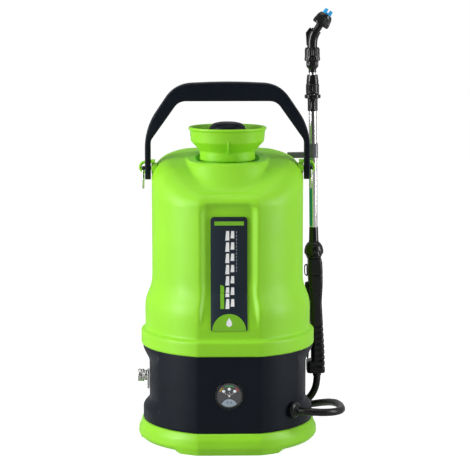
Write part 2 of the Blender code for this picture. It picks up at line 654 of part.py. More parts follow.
def make_strap_loops():
    for side_name, x in (("left", -1), ("right", 1)):
        path = [(86.6, LOOP_Y, 333.4), (91.0, LOOP_Y, 334.0)]
        for turn in range(90, -121, -15):
            angle = math.radians(turn)
            path.append((LOOP_X + LOOP_R * math.cos(angle), LOOP_Y, LOOP_Z + 1.2 + LOOP_R * math.sin(angle)))
        radii = [3.0, 2.3] + [LOOP_ROD] * (len(path) - 2)
        swept(f"strap_loop_{side_name}", [(x * px, py, pz) for px, py, pz in path], radii, "green_plastic")
        ring = []
        for k in range(20):
            angle = 2 * math.pi * k / 20
            stretch = 6.5 if math.sin(angle) < 0 else -6.5
            ring.append((0, 5.6 * math.cos(angle), 5.6 * math.sin(angle) - stretch - 12.1))
        swept(f"snap_hook_{side_name}", ring, 1.25, "nickel", ring=True, at=(x * 100.9, LOOP_Y, 325.9))


def lance_frame():
    """An empty at the grip's lower end; its Z runs up the lance."""
    frame = bpy.data.objects.new("lance_frame", None)
    bpy.context.scene.collection.objects.link(frame)
    frame.location = [c * MM for c in LANCE]
    frame.rotation_euler = (0, -LANCE_LEAN, 0)
    return frame


def make_grip(lance):
    body = [(-7.6, 147.6, 0), (8.8, 147.6, 0), (9.9, 143, 0), (10.4, 130, 0), (10.3, 115, 0), (8.9, 93, 0),
            (10.3, 65, 0), (11.8, 36, 0), (12.4, 4.6, 0), (-10.3, 4.6, 0), (-10.3, 18.8, 0), (-4.4, 20.4, 0),
            (-4.4, 57.9, 0), (-5.6, 92, 0), (-7.6, 124, 0)]
    outline = rounded(body)
    for name, y0, y1 in (("grip_front", -11.5, -GAP / 2), ("grip_rear", GAP / 2, 11.5)):
        half = prism(name, outline, y0, y1, "black_plastic", parent=lance)
        step = half.modifiers.new("round", "BEVEL")
        step.width = 3.4 * MM
        step.segments = 3
        step.limit_method = "WEIGHT"
        edges = half.data.attributes.new("bevel_weight_edge", "FLOAT", "EDGE")
        for edge in half.data.edges:
            ends = [half.data.vertices[i].co.y for i in edge.vertices]
            outer = all(abs(y) > 10 * MM for y in ends)
            edges.data[edge.index].value = 1.0 if outer else 0.0
        channel = box("trigger_channel", (-13, 3), (-4.2, 4.2), (19.2, 119.5), "black_plastic", parent=lance)
        cut(half, channel)
        cut(half, rod("pin_bore", (TRIGGER_PIVOT[0], -9.3, TRIGGER_PIVOT[1]),
                      (TRIGGER_PIVOT[0], 9.3, TRIGGER_PIVOT[1]), 1.65, "black_plastic", parent=lance,
                      steps=12))
        cut(half, rod("valve_bore", (2, 0, 95), (7.6, 0, 95), 3.4, "black_plastic", parent=lance))
    px, pz = TRIGGER_PIVOT
    rod("trigger_pin", (px, -9, pz), (px, 9, pz), 1.3, "steel", steps=12, parent=lance)
    lever = [(-11.2, 117.3), (-6.2, 118.2), (-2.0, 115.0), (-1.4, 110.5), (-5.0, 105.0), (-6.0, 90),
             (-5.4, 70), (-5.6, 45), (-7.0, 31), (-8.0, 21.4), (-9.7, 21.6), (-9.9, 32), (-8.9, 45),
             (-8.7, 72), (-9.8, 100), (-11.4, 112)]
    trigger = prism("trigger_lever", [(x - px, z - pz) for x, z in lever], -3.6, 3.6, "black_plastic",
                    at=(px, 0, pz), parent=lance)
    cut(trigger, rod("lever_bore", (0, -5, 0), (0, 5, 0), 1.65, "black_plastic", at=(px, 0, pz),
                     parent=lance, steps=12))
    bevel(trigger, 0.7, 1)
    rod("valve_plunger", (-5.3, 0, 0), (3.0, 0, 0), 1.9, "steel", at=(0, 0, 95), parent=lance, steps=12)
    spring = [(3.6 + 3.5 * k / 32, 2.4 * math.cos(k * math.pi / 4), 95 + 2.4 * math.sin(k * math.pi / 4))
              for k in range(33)]
    swept("valve_spring", spring, 0.35, "steel", steps=6, parent=lance)
    outer = rounded([(-8.1, 124.5, 0.8), (-8.1, 141, 0.8), (-12.1, 139, 2.6), (-12.1, 127, 2.6)])
    lock = prism("trigger_lock", outer, -2.6, 2.6, "black_plastic", parent=lance)
    inner = rounded([(-9.3, 126.5, 0.4), (-9.3, 138.8, 0.4), (-10.9, 137.6, 0.9), (-10.9, 128, 0.9)])
    cut(lock, prism("lock_hole", inner, -5, 5, "black_plastic", parent=lance))
    nut = [(0, -0.4), (4.8, -0.4), (5.3, 0.3), (5.3, 4.2), (0, 4.2)]
    turned("hose_nut", nut, "black_plastic", steps=20, at=(2.6, 0, 0), parent=lance)


def make_lance(lance):
    nut = [(5.2, 148.0), (9.2, 148.0), (9.2, 152.4), (11.8, 153.2), (11.8, 157.6), (10.6, 162.4),
           (7.8, 166.6), (5.9, 167.8), (5.2, 167.8)]
    turned("grip_nut", nut, "black_plastic", parent=lance)
    turned("taper_sleeve", [(5.2, 168.1), (5.9, 168.1), (5.5, 186.1), (5.2, 186.1)], "black_plastic",
           parent=lance)
    turned("outer_tube", [(TUBE_BORE, 148.4), (TUBE_R, 148.4), (TUBE_R, 343.0), (TUBE_BORE, 343.0)], "steel",
           parent=lance)
    collet = [(TUBE_R + GAP, 328.6), (5.9, 328.6), (6.2, 330.0), (6.2, 343.6), (9.5, 344.2), (9.8, 345.0),
              (9.8, 347.6), (9.4, 348.6), (TUBE_R + GAP, 348.6)]
    turned("collet_body", collet, "black_plastic", parent=lance)
    nut = [(INNER_R + GAP, 348.9), (7.7, 348.9), (8.1, 350.2), (8.1, 360.5), (7.4, 365.4), (6.4, 372.7),
           (INNER_R + GAP, 372.7)]
    turned("collet_nut", nut, "black_plastic", parent=lance)
    turned("inner_tube", [(INNER_BORE, 190.0), (INNER_R, 190.0), (INNER_R, 388.0), (INNER_BORE, 388.0)],
           "steel", parent=lance)
    adaptor = [(INNER_R + GAP, 375.2), (4.7, 375.2), (4.7, 379.4), (7.0, 382.0), (7.5, 384.5), (7.5, 389.0),
               (INNER_R + GAP, 389.0)]
    turned("tube_adaptor", adaptor, "black_plastic", parent=lance)
    nut = [(6.5, 389.4), (9.1, 389.4), (9.5, 390.6), (9.5, 393.2), (9.1, 394.2), (9.1, 403.4), (8.2, 405.6),
           (6.5, 405.6)]
    turned("coupling_nut", nut, "black_plastic", parent=lance)
    path = [(0, 0, 390.0), (0, 0, 408.0), (0.2, 0, 412.5), (1.0, 0, 417.0), (2.6, 0, 421.4), (4.7, 0, 425.2),
            (6.4, 0, 427.8), (11.2, 0, 435.2)]
    radii = [6.1, 6.1, 6.0, 6.0, 5.9, 5.6, 4.4, 4.4]
    elbow = swept("nozzle_elbow", path, radii, "black_plastic", steps=16, parent=lance)
    fin = prism("elbow_fin", [(-4, 407), (-6.9, 408.5), (-7.7, 423.5), (-2.6, 430.0), (0.2, 427.6),
                              (1.5, 418)], -1.2, 1.2, "black_plastic", parent=lance)
    join(elbow, fin)
    foot = (9.4, 0, 432.4)
    turn = (0, NOZZLE_TILT, 0)
    cap = [(5.0, 0), (9.6, 0), (10.6, 1.4), (10.6, 3.6), (9.2, 11.6), (7.4, 14.9), (6.0, 15.4), (6.0, 5.4),
           (5.0, 5.4)]
    turned("nozzle_cap", cap, "black_plastic", at=foot, turn=turn, parent=lance)
    tip = turned("nozzle_tip", [(0, 5.8), (5.6, 5.8), (5.6, 17.0), (5.2, 21.4), (0, 21.4)], "blue_plastic",
                 at=foot, turn=turn, parent=lance)
    slot = box("tip_slot", (-1.3, 1.3), (-8, 8), (17.6, 24), "blue_plastic", at=foot, turn=turn, parent=lance)
    cut(tip, slot)


def make_clip(lance):
    outer = [(7.2 * math.cos(math.radians(t)), 7.2 * math.sin(math.radians(t))) for t in range(35, 326, 10)]
    inner = [(5.2 * math.cos(math.radians(t)), 5.2 * math.sin(math.radians(t))) for t in range(325, 34, -10)]
    section = outer + inner
    clip = lofted("lance_clip", [level(section, z) for z in (271.4, 289.1)], "clip_grey", parent=lance)
    arm = box("clip_arm", (-31.5, -5.6), (-4, 4), (271.4, 278.5), "clip_grey", parent=lance)
    join(clip, arm)


clear_scene()
make_tray()
make_housing()
make_tank()
make_label()
make_filler()
make_gauge()
make_knob()
make_charge_port()
make_inner_works()
make_grommet()
make_hose()
make_handle()
make_strap_loops()
LANCE_FRAME = lance_frame()
make_grip(LANCE_FRAME)
make_lance(LANCE_FRAME)
make_clip(LANCE_FRAME)
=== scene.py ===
"""The garden sprayer's looks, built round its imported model.

Sizes are in millimetres in the model's own frame, +Z up and the front facing -Y, and each mesh is made in
metres. Each piece takes the place of the plain solids that it names.
"""

import json
import math

import bmesh
import bpy
import numpy as np
from mathutils import Matrix, Vector


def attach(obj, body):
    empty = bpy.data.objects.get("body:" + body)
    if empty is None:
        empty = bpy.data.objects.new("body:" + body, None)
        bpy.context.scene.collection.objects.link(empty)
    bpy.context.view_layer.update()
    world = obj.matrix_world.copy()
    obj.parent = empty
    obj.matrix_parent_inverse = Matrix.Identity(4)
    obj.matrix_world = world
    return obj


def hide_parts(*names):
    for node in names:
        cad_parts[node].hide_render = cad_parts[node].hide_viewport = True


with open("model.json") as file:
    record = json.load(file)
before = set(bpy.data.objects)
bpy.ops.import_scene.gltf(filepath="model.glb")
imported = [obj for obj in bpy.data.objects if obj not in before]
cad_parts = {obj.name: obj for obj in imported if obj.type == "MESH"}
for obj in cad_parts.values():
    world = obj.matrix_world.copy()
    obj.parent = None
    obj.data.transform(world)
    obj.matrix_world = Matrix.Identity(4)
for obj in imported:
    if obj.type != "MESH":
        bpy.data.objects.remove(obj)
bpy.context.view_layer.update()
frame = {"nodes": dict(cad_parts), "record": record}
RECORD = frame["record"]
BODY_OF = {node: body for body, nodes in RECORD["behaviour"]["bodies"].items() for node in nodes}
SLOT_OF = {part["node"]: part["material_slot"] for part in RECORD["subparts"]}
MM = 0.001


def placed(x, y, z, degrees=0, axis="Z"):
    """A shift, after a turn about an axis."""
    return Matrix.Translation((x, y, z)) @ Matrix.Rotation(math.radians(degrees), 4, axis)


# Base and tank
BAND_R, BAND_LOW, BAND_HIGH = 102, 25.8, 117
NICHE_DEPTH, NICHE_LOW, NICHE_HIGH = 7.5, 39, 115
TANK_R = 90.5
MOUND_TOP, MOUND_R = 337, 48.5
NECK_R, NECK_BORE, NECK_TOP = 29, 26.4, 350
TANK_WALL, TANK_HALF = 3, 33.8
GAUGE = placed(0, -95.13, 71.4, 90, "X")
GAUGE_LIGHTS = ((-6.5, 5), (0, 7.6), (6.5, 5))
# Handle
PIVOT_Z = 327.6
# Lance: its own frame stands at the grip's lower end, and the nozzle's frame at the elbow's end
LANCE = placed(109.4, 52, 62.9, -0.78, "Y")
NOZZLE_TILT = 33
NOZZLE = LANCE @ placed(9.4, 0, 432.4, NOZZLE_TILT, "Y")
# Hose: COIL_START is the coil's radius where the hose comes in, COIL_R its radius at the tie
HOSE_D = 9
COIL_X, COIL_Y, COIL_R, COIL_START, COIL_LOW = -5, 182, 50, 56.75, 1.6
GROMMET, GROMMET_AIM = Vector((75.1, -69, 48)), Vector((0.829, -0.559, 0))
HOSE_FRONT = ((83.3, -74.5, 48), (91, -78.6, 48), (99, -80.4, 47.7), (107.5, -80.2, 47.2),
              (116, -77.6, 46.6), (123.5, -72.8, 46), (129.4, -66, 45.4), (133.2, -57.8, 44.9),
              (134.7, -48, 44.3), (134.6, -24, 42.5), (131.5, 2, 39.4), (125.5, 26, 34.8),
              (116.5, 49.5, 28.6), (103.5, 71.5, 21.6), (88.5, 92, 14.8), (73.5, 110, 9.4),
              (61.5, 127, 6.7), (54.2, 145.5, 6.2), (51.9, 163.5, 6.1))
HOSE_REAR = ((-11.5, 133.2, 15.6), (4, 123.6, 12.6), (18.5, 116.2, 7.6), (32, 111.2, 5.2),
             (45, 105.6, 5), (57, 98.8, 6.8), (68.5, 90.8, 10), (79.5, 81.8, 14.6),
             (89.8, 72.8, 20.6), (98.8, 64.4, 27.8), (105.8, 57.8, 36.9), (110.3, 53.6, 47.6),
             (112, 52, 58.5), (112, 52, 62.2))
COIL_TURNS = 2.65


# ---- materials

def add(tree, kind, inputs=(), **settings):
    """A shader node with its settings, and its inputs set or linked."""
    made = tree.nodes.new(kind)
    for key, value in settings.items():
        setattr(made, key, value)
    for key, value in dict(inputs).items():
        if isinstance(value, bpy.types.NodeSocket):
            tree.links.new(value, made.inputs[key])
        else:
            made.inputs[key].default_value = value
    return made


def noise(tree, place, size, detail=2, stretch=(1, 1, 1)):
    """Noise whose patches are about size millimetres across."""
    mapped = add(tree, "ShaderNodeMapping", {"Vector": place, "Scale": stretch})
    return add(tree, "ShaderNodeTexNoise", {"Vector": mapped.outputs[0], "Scale": 1000 / size,
                                            "Detail": detail}).outputs["Fac"]


def spread(tree, value, low, high, start=0.3, end=0.7):
    """The value's run from start to end, spread from low to high."""
    return add(tree, "ShaderNodeMapRange", {"Value": value, "From Min": start, "From Max": end,
                                            "To Min": low, "To Max": high}).outputs["Result"]


def finish(name, colour, roughness, metallic=0, mottle=0.05, grain=0.6, bump=0.05, wear=0.1, patch=30,
           coat=0, stretch=(1, 1, 1), uneven=0.06, glow=0, shine=0.5):
    """A moulded or plated surface: uneven colour and gloss in patches, a fine grain in the bump, and
    edges rubbed lighter."""
    made = bpy.data.materials.new(name)
    made.use_nodes = True
    tree = made.node_tree
    shader = tree.nodes["Principled BSDF"]
    place = add(tree, "ShaderNodeTexCoord").outputs["Object"]
    light = tuple(min(c * (1 + mottle) + 0.004 * mottle, 1) for c in colour) + (1,)
    dark = tuple(c * (1 - mottle) for c in colour) + (1,)
    patches = noise(tree, place, patch, 3, stretch)
    base = add(tree, "ShaderNodeMix", {0: spread(tree, patches, 0, 1), 6: dark, 7: light}, data_type="RGBA")
    edge = add(tree, "ShaderNodeNewGeometry").outputs["Pointiness"]
    worn = tuple(c + (1 - c) * 0.35 for c in colour) + (1,)
    rubbed = add(tree, "ShaderNodeMath", {0: spread(tree, edge, 0, wear, 0.52, 0.6),
                                          1: spread(tree, noise(tree, place, 5), 0.2, 1)},
                 operation="MULTIPLY")
    final = add(tree, "ShaderNodeMix", {0: rubbed.outputs[0], 6: base.outputs[2], 7: worn},
                data_type="RGBA")
    tree.links.new(final.outputs[2], shader.inputs["Base Color"])
    blotches = noise(tree, place, patch * 0.3, 4, stretch)
    tree.links.new(spread(tree, blotches, roughness - uneven, roughness + uneven),
                   shader.inputs["Roughness"])
    fine = add(tree, "ShaderNodeBump", {"Height": noise(tree, place, grain, 3, stretch),
                                        "Strength": bump, "Distance": 0.0001})
    tree.links.new(fine.outputs[0], shader.inputs["Normal"])
    shader.inputs["Metallic"].default_value = metallic
    shader.inputs["Coat Weight"].default_value = coat
    shader.inputs["Specular IOR Level"].default_value = shine
    shader.inputs["Coat Roughness"].default_value = 0.12
    if glow:
        shader.inputs["Emission Color"].default_value = (*colour, 1)
        shader.inputs["Emission Strength"].default_value = glow
    return made


GREEN, BLACK = (0.285, 0.7, 0.022), (0.0035, 0.004, 0.005)
PRINT = {"mottle": 0.03, "bump": 0.03, "wear": 0}
LENGTHWISE = (1, 1, 0.03)
LOOKS = {
    "tank_green": (GREEN, 0.44, dict(mottle=0.03, grain=0.9, bump=0.3, patch=45, wear=0.2, shine=0.35)),
    "moulded_green": (GREEN, 0.4, dict(mottle=0.03, grain=0.5, bump=0.15, wear=0.2, shine=0.35)),
    "navy_plastic": ((0.0036, 0.0064, 0.0118), 0.42,
                     dict(mottle=0.12, grain=0.45, bump=0.25, wear=0.05, shine=0.16)),
    "black_plastic": (BLACK, 0.2, dict(mottle=0.15, grain=0.5, wear=0.05, shine=0.45)),
    "grip_plastic": (BLACK, 0.28, dict(mottle=0.15, grain=0.35, bump=0.25, wear=0.05, shine=0.35)),
    "black_rubber": ((0.0045, 0.0045, 0.005), 0.3,
                     dict(mottle=0.15, grain=0.4, bump=0.1, wear=0.02, shine=0.35)),
    "label_film": ((0.0145, 0.0235, 0.034), 0.36, dict(grain=0.25, bump=0.03, wear=0, shine=0.2)),
    "gauge_grey": ((0.07, 0.07, 0.074), 0.34, dict(grain=0.2, bump=0.04, wear=0, coat=0.4)),
    "gauge_light": ((0.8, 0.86, 0.9), 0.2, dict(mottle=0.02, bump=0.01, wear=0, coat=0.6, glow=0.15)),
    "button_grey": ((0.33, 0.4, 0.47), 0.38, dict(grain=0.3, bump=0.08)),
    "nickel": ((0.68, 0.68, 0.67), 0.22, dict(metallic=1, grain=0.5, bump=0.03, patch=8)),
    "steel": ((0.74, 0.725, 0.71), 0.14, dict(metallic=1, mottle=0.04, grain=0.6, bump=0.01,
                                              stretch=LENGTHWISE, wear=0, uneven=0.03)),
    "motor_steel": ((0.52, 0.52, 0.51), 0.34, dict(metallic=1, mottle=0.1)),
    "clip_grey": ((0.115, 0.115, 0.13), 0.28, dict(mottle=0.08, grain=0.5, coat=0.3)),
    "blue_plastic": ((0, 0.38, 0.8), 0.3, dict(mottle=0.06, grain=0.4, coat=0.3, wear=0.2)),
    "mesh_white": ((0.72, 0.73, 0.7), 0.45, {}),
    "cell_blue": ((0.05, 0.16, 0.45), 0.35, dict(mottle=0.08)),
    "board_green": ((0.02, 0.2, 0.08), 0.4, dict(mottle=0.15, patch=6)),
    "print_green": ((0.19, 0.5, 0.02), 0.36, PRINT),
    "print_white": ((0.86, 0.87, 0.87), 0.4, PRINT | {"mottle": 0.02}),
    "print_grey": ((0.2, 0.23, 0.26), 0.4, PRINT | {"mottle": 0.04}),
    "print_yellow": ((0.75, 0.46, 0.02), 0.4, PRINT),
    "print_red": ((0.62, 0.05, 0.04), 0.4, PRINT),
    # Teal for a painted reflection: the strip on the steel lower tube that stands in for a reflection
    "teal_painted_reflection": ((0, 0.28, 0.33), 0.3, dict(mottle=0.06, grain=0.5, wear=0, coat=0.3)),
    "print_leaf": ((0.05, 0.42, 0.1), 0.4, PRINT),
}
FINISH = {name: finish(name, colour, roughness, **rest) for name, (colour, roughness, rest) in LOOKS.items()}

for node, part in frame["nodes"].items():
    part.data.materials.clear()
    part.data.materials.append(FINISH[SLOT_OF[node]])


# ---- mesh helpers

def mesh_piece(name, points, faces, place=None, sharp=35):
    """An object from points in millimetres, with its faces turned outwards."""
    points = np.asarray(points, float)
    if place is not None:
        turn = np.array(place)
        points = points @ turn[:3, :3].T + turn[:3, 3]
    mesh = bpy.data.meshes.new(name)
    mesh.from_pydata((points * MM).tolist(), [], faces)
    bm = bmesh.new()
    bm.from_mesh(mesh)
    bmesh.ops.remove_doubles(bm, verts=bm.verts, dist=1e-6)
    bmesh.ops.recalc_face_normals(bm, faces=bm.faces)
    bm.to_mesh(mesh)
    bm.free()
    mesh.shade_smooth()
    mesh.set_sharp_from_angle(angle=math.radians(sharp))
    made = bpy.data.objects.new(name, mesh)
    bpy.context.scene.collection.objects.link(made)
    return made


def adopt(piece, *nodes):
    """The piece stands for these nodes, moves with their body and has their finish."""
    slot = SLOT_OF[nodes[0]]
    piece.data.materials.append(FINISH[slot])
    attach(piece, BODY_OF[nodes[0]])
    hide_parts(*nodes)
    return piece


def detail(piece, node, look):
    """The piece is a detail on a node: it moves with the node's body and has a finish of its own."""
    piece.data.materials.append(FINISH[look])
    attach(piece, BODY_OF[node])
    return piece


def grid_faces(rows, columns, ring):
    """The faces between rows of points closed round, and back to the first row in a ring."""
    faces = []
    for k in range(rows if ring else rows - 1):
        a = k * columns
        b = (k + 1) % rows * columns
        for i in range(columns):
            j = (i + 1) % columns
            faces.append((a + i, a + j, b + j, b + i))
    return faces


def loft(name, rows, ring=False, place=None, sharp=35):
    """A skin over rows of equally many points, closed round, with a fan over each end."""
    rows = np.asarray(rows, float)
    count, columns = rows.shape[:2]
    points = rows.reshape(-1, 3)
    faces = grid_faces(count, columns, ring)
    if not ring:
        for end in (0, count - 1):
            hub = len(points)
            points = np.vstack([points, rows[end].mean(0)])
            start = end * columns
            faces += [(start + i, start + (i + 1) % columns, hub) for i in range(columns)]
    return mesh_piece(name, points, faces, place, sharp)


def loft_open(name, rows, place):
    """A skin over rows whose section isn't convex, such as an open ring: there and back."""
    rows = np.asarray(rows, float)
    count, columns = rows.shape[:2]
    faces = grid_faces(count, columns, False)
    half = columns // 2
    for end in (0, (count - 1) * columns):
        for i in range(half - 1):
            faces.append((end + i, end + i + 1, end + columns - 2 - i, end + columns - 1 - i))
    return mesh_piece(name, rows.reshape(-1, 3), faces, place)


def soften(outline, radius, ring, steps=3):
    """An outline with each corner rounded as far as its neighbours allow."""
    outline = [Vector(p) for p in outline]
    count = len(outline)
    made = []
    for i, here in enumerate(outline):
        if not ring and i in (0, count - 1):
            made.append(tuple(here))
            continue
        back, on = outline[i - 1] - here, outline[(i + 1) % count] - here
        reach = min(radius, back.length * 0.45, on.length * 0.45)
        a, b = here + back.normalized() * reach, here + on.normalized() * reach
        for k in range(steps + 1):
            t = k / steps
            made.append(tuple(a * (1 - t) ** 2 + here * 2 * t * (1 - t) + b * t * t))
    return made


def lathe(name, outline, place=None, steps=72, soft=0.5, ribs=None, sharp=35):
    """A turned piece from an outline of (radius, height): it starts and ends on the axis, or runs once
    round a ring's section. ribs gives how far a place is cut in, from its radius, height and angle."""
    ring = outline[0][0] > 1e-6
    outline = soften(outline, soft, ring)
    if ribs:
        outline = dense(outline, 1.2, ring)
    section = np.array(outline)
    angles = np.arange(steps) * 2 * math.pi / steps
    radii = np.repeat(section[:, :1], steps, 1)
    heights = np.repeat(section[:, 1:], steps, 1)
    if ribs:
        radii = radii - ribs(radii, heights, angles[None, :])
    rows = np.stack([radii * np.cos(angles), radii * np.sin(angles), heights], 2)
    if ring:
        return loft(name, rows, True, place, sharp)
    return mesh_piece(name, rows.reshape(-1, 3), grid_faces(len(section), steps, False), place, sharp)


def dense(outline, step, ring):
    """The outline with its long runs cut into steps."""
    made = []
    ends = outline[1:] + outline[:1] if ring else outline[1:]
    for a, b in zip(outline, ends):
        a, b = Vector(a), Vector(b)
        count = max(1, math.ceil((b - a).length / step))
        made += [tuple(a.lerp(b, k / count)) for k in range(count)]
    if not ring:
        made.append(outline[-1])
    return made


def disc(radius, low, high):
    """The outline of a plain round bar."""
    return [(0, low), (radius, low), (radius, high), (0, high)]


def pipe(inner, outer, low, high):
    """The section of a plain pipe."""
    return [(inner, low), (outer, low), (outer, high), (inner, high)]


def smooth(value, low, high):
    """From 0 at low to 1 at high, gently at both ends."""
    share = np.clip((value - low) / (high - low), 0, 1)
    return share * share * (3 - 2 * share)


def soft_max(a, b, blend):
    """The larger of two heights, rounded over where they cross."""
    high = np.maximum(a, b)
    return high + blend * np.log(np.exp((a - high) / blend) + np.exp((b - high) / blend))


def flutes(count, depth, low, high, least=0):
    """Grooves round a turned piece between two heights, where its radius is more than the least."""
    def ribs(radii, heights, angles):
        wave = smooth(np.cos(angles * count), 0, 1)
        zone = smooth(heights, low, low + 0.8) * smooth(-heights, -high, 0.8 - high)
        return depth * wave * zone * (radii > least)
    return ribs


def tube(name, path, radius, ring=False, steps=20, place=None):
    """A round bar along a path, with a radius for each point or one for all."""
    points = [Vector(p) for p in path]
    radii = radius if isinstance(radius, (list, tuple)) else [radius] * len(points)
    rows = []
    side = None
    for k, p in enumerate(points):
        before = points[k - 1] if ring or k else p
        after = points[(k + 1) % len(points)] if ring or k < len(points) - 1 else p
        along = (after - before).normalized()
        if side is None:
            side = along.orthogonal().normalized()
        side = (side - along * side.dot(along)).normalized()
        up = along.cross(side)
        turns = [2 * math.pi * i / steps for i in range(steps)]
        rows.append([p + (side * math.cos(t) + up * math.sin(t)) * radii[k] for t in turns])
    return loft(name, rows, ring, place)


def block(name, low, high, soft=0.8, place=None, segments=3):
    """A box with rounded edges."""
    bm = bmesh.new()
    bmesh.ops.create_cube(bm, size=1)
    middle, size = (Vector(low) + Vector(high)) / 2, Vector(high) - Vector(low)
    for v in bm.verts:
        v.co = Vector(a * b for a, b in zip(v.co, size)) + middle
    bmesh.ops.bevel(bm, geom=bm.edges, offset=soft, segments=segments, profile=0.5, affect="EDGES")
    points = [v.co[:] for v in bm.verts]
    faces = [[v.index for v in f.verts] for f in bm.faces]
    bm.free()
    return mesh_piece(name, points, faces, place)


def plate(name, outline, y0, y1, soft=0.4, place=None, steps=3):
    """An outline of (x, z), anticlockwise, drawn out along Y, with rounded rims."""
    outline = np.array(outline, float)
    before, after = np.roll(outline, 1, 0), np.roll(outline, -1, 0)
    along = after - before
    inward = np.stack([-along[:, 1], along[:, 0]], 1) / np.linalg.norm(along, axis=1)[:, None]
    rows = []
    for end, way in ((y0, 1), (y1, -1)):
        bends = [(soft * (1 - math.sin(t)), soft * (1 - math.cos(t)))
                 for t in np.linspace(0, math.pi / 2, steps + 1)]
        level = []
        for inset, lift in bends:
            ring = outline + inward * inset
            level.append([(x, end + way * lift, z) for x, z in ring])
        rows += level if way > 0 else level[::-1]
    return loft(name, rows, place=place)


def arc(radius, start, end, steps):
    """Points on an arc about the axis, with its ends in degrees."""
    turns = np.radians(np.linspace(start, end, steps + 1))
    return [(radius * math.cos(t), radius * math.sin(t)) for t in turns]


def carve(piece, cutter):
    """The piece with the cutter's shape taken out; the cutter is used up."""
    step = piece.modifiers.new("cut", "BOOLEAN")
    step.operation = "DIFFERENCE"
    step.solver = "EXACT"
    step.object = cutter
    graph = bpy.context.evaluated_depsgraph_get()
    mesh = bpy.data.meshes.new_from_object(piece.evaluated_get(graph))
    piece.modifiers.clear()
    piece.data = mesh
    bpy.data.objects.remove(cutter)
    mesh.shade_smooth()
    mesh.set_sharp_from_angle(angle=math.radians(35))


# ---- camera, light, floor

def make_camera():
    """A long lens from the front, a little above the handle."""
    camera = bpy.data.objects.new("camera", bpy.data.cameras.new("camera"))
    bpy.context.scene.collection.objects.link(camera)
    camera.location = (-0.046, -2.244, 0.565)
    aim = Vector((0.009, 0, 0.2465)) - camera.location
    camera.rotation_euler = aim.to_track_quat("-Z", "Y").to_euler()
    camera.data.sensor_width = 36
    camera.data.lens = 144.7
    bpy.context.scene.camera = camera


def make_light(name, at, size, watts):
    """A white soft box that faces the part's middle."""
    light = bpy.data.lights.new(name, "AREA")
    light.shape = "RECTANGLE"
    light.size, light.size_y = size
    light.energy = watts
    lamp = bpy.data.objects.new(name, light)
    bpy.context.scene.collection.objects.link(lamp)
    lamp.location = at
    lamp.rotation_euler = (Vector((0, 0, 0.24)) - Vector(at)).to_track_quat("-Z", "Y").to_euler()


def make_room():
    """Light from all round, dim towards the front so that round metal shows a dark core."""
    world = bpy.data.worlds.new("studio")
    bpy.context.scene.world = world
    world.use_nodes = True
    tree = world.node_tree
    tree.nodes.clear()
    aim = add(tree, "ShaderNodeTexCoord").outputs["Generated"]
    ahead = add(tree, "ShaderNodeSeparateXYZ", {0: aim}).outputs["Y"]
    seen = add(tree, "ShaderNodeLightPath").outputs["Is Camera Ray"]
    power = spread(tree, ahead, 0.1, 0.42, -0.95, -0.35)
    room = add(tree, "ShaderNodeBackground", {"Color": (1, 1, 1, 1), "Strength": power})
    backdrop = add(tree, "ShaderNodeBackground", {"Color": (1, 1, 1, 1), "Strength": 1})
    mixed = add(tree, "ShaderNodeMixShader", {0: seen, 1: room.outputs[0], 2: backdrop.outputs[0]})
    add(tree, "ShaderNodeOutputWorld", {"Surface": mixed.outputs[0]})


def make_floor():
    """A pale floor that glows softly, so that it stays pale away from the lamps."""
    edge = 6000
    corners = [(-edge, -edge, 0), (edge, -edge, 0), (edge, edge, 0), (-edge, edge, 0)]
    floor = mesh_piece("floor", corners, [(0, 1, 2, 3)])
    pale = finish("floor_paint", (0.3, 0.3, 0.3), 0.9, mottle=0.01, wear=0, patch=400, grain=3,
                  bump=0.02)
    tree = pale.node_tree
    seen = add(tree, "ShaderNodeLightPath").outputs["Is Camera Ray"]
    shader = tree.nodes["Principled BSDF"]
    shader.inputs["Emission Color"].default_value = (1, 1, 1, 1)
    shader.inputs["Specular IOR Level"].default_value = 0
    tree.links.new(spread(tree, seen, 0.22, 0.9, 0, 1), shader.inputs["Emission Strength"])
    floor.data.materials.append(pale)


def make_studio():
    """A strong soft box at each side, and weak ones above and ahead."""
    make_light("left_box", (-1.8, -0.62, 0.75), (0.8, 1.6), 41)
    make_light("right_box", (1.7, -0.42, 0.55), (0.5, 1.6), 23)
    make_light("top_box", (0, 0.1, 1.9), (1.6, 1.2), 8)
    make_light("front_fill", (-0.5, -1.9, 2.2), (0.9, 0.6), 1.5)
    make_room()
    make_floor()
    bpy.context.scene.view_settings.view_transform = "Standard"


# ---- hose

def coil_place(turn):
    """The distance from the coil's middle and the height after so many turns: a flat spiral that ends
    inside, then rises and lies in the groove between its own turns."""
    leaves, out = 1.6, 1.5 * HOSE_D
    radius = COIL_START - HOSE_D * turn + out * float(smooth(turn, 1.72, 2.12))
    low = COIL_LOW + HOSE_D / 2
    if turn <= leaves:
        return radius, low
    lift = 8.2 * float(smooth(turn, leaves, 1.95))
    for below in (turn - 1, turn - 2):
        aside = abs(radius - (COIL_START - HOSE_D * below))
        if 0 <= below <= 1.75 and aside < HOSE_D:
            lift = max(lift, math.sqrt(HOSE_D ** 2 - aside ** 2))
    return radius, low + lift


def hose_stops():
    """The whole hose: from the base, round the coil behind it, and up into the grip."""
    stops = [Vector(p) for p in HOSE_FRONT]
    per_turn = 20
    for k in range(round(COIL_TURNS * per_turn) + 1):
        radius, height = coil_place(k / per_turn)
        angle = 2 * math.pi * k / per_turn
        stops.append(Vector((COIL_X + radius * math.cos(angle), COIL_Y + radius * math.sin(angle), height)))
    return stops + [Vector(p) for p in HOSE_REAR]


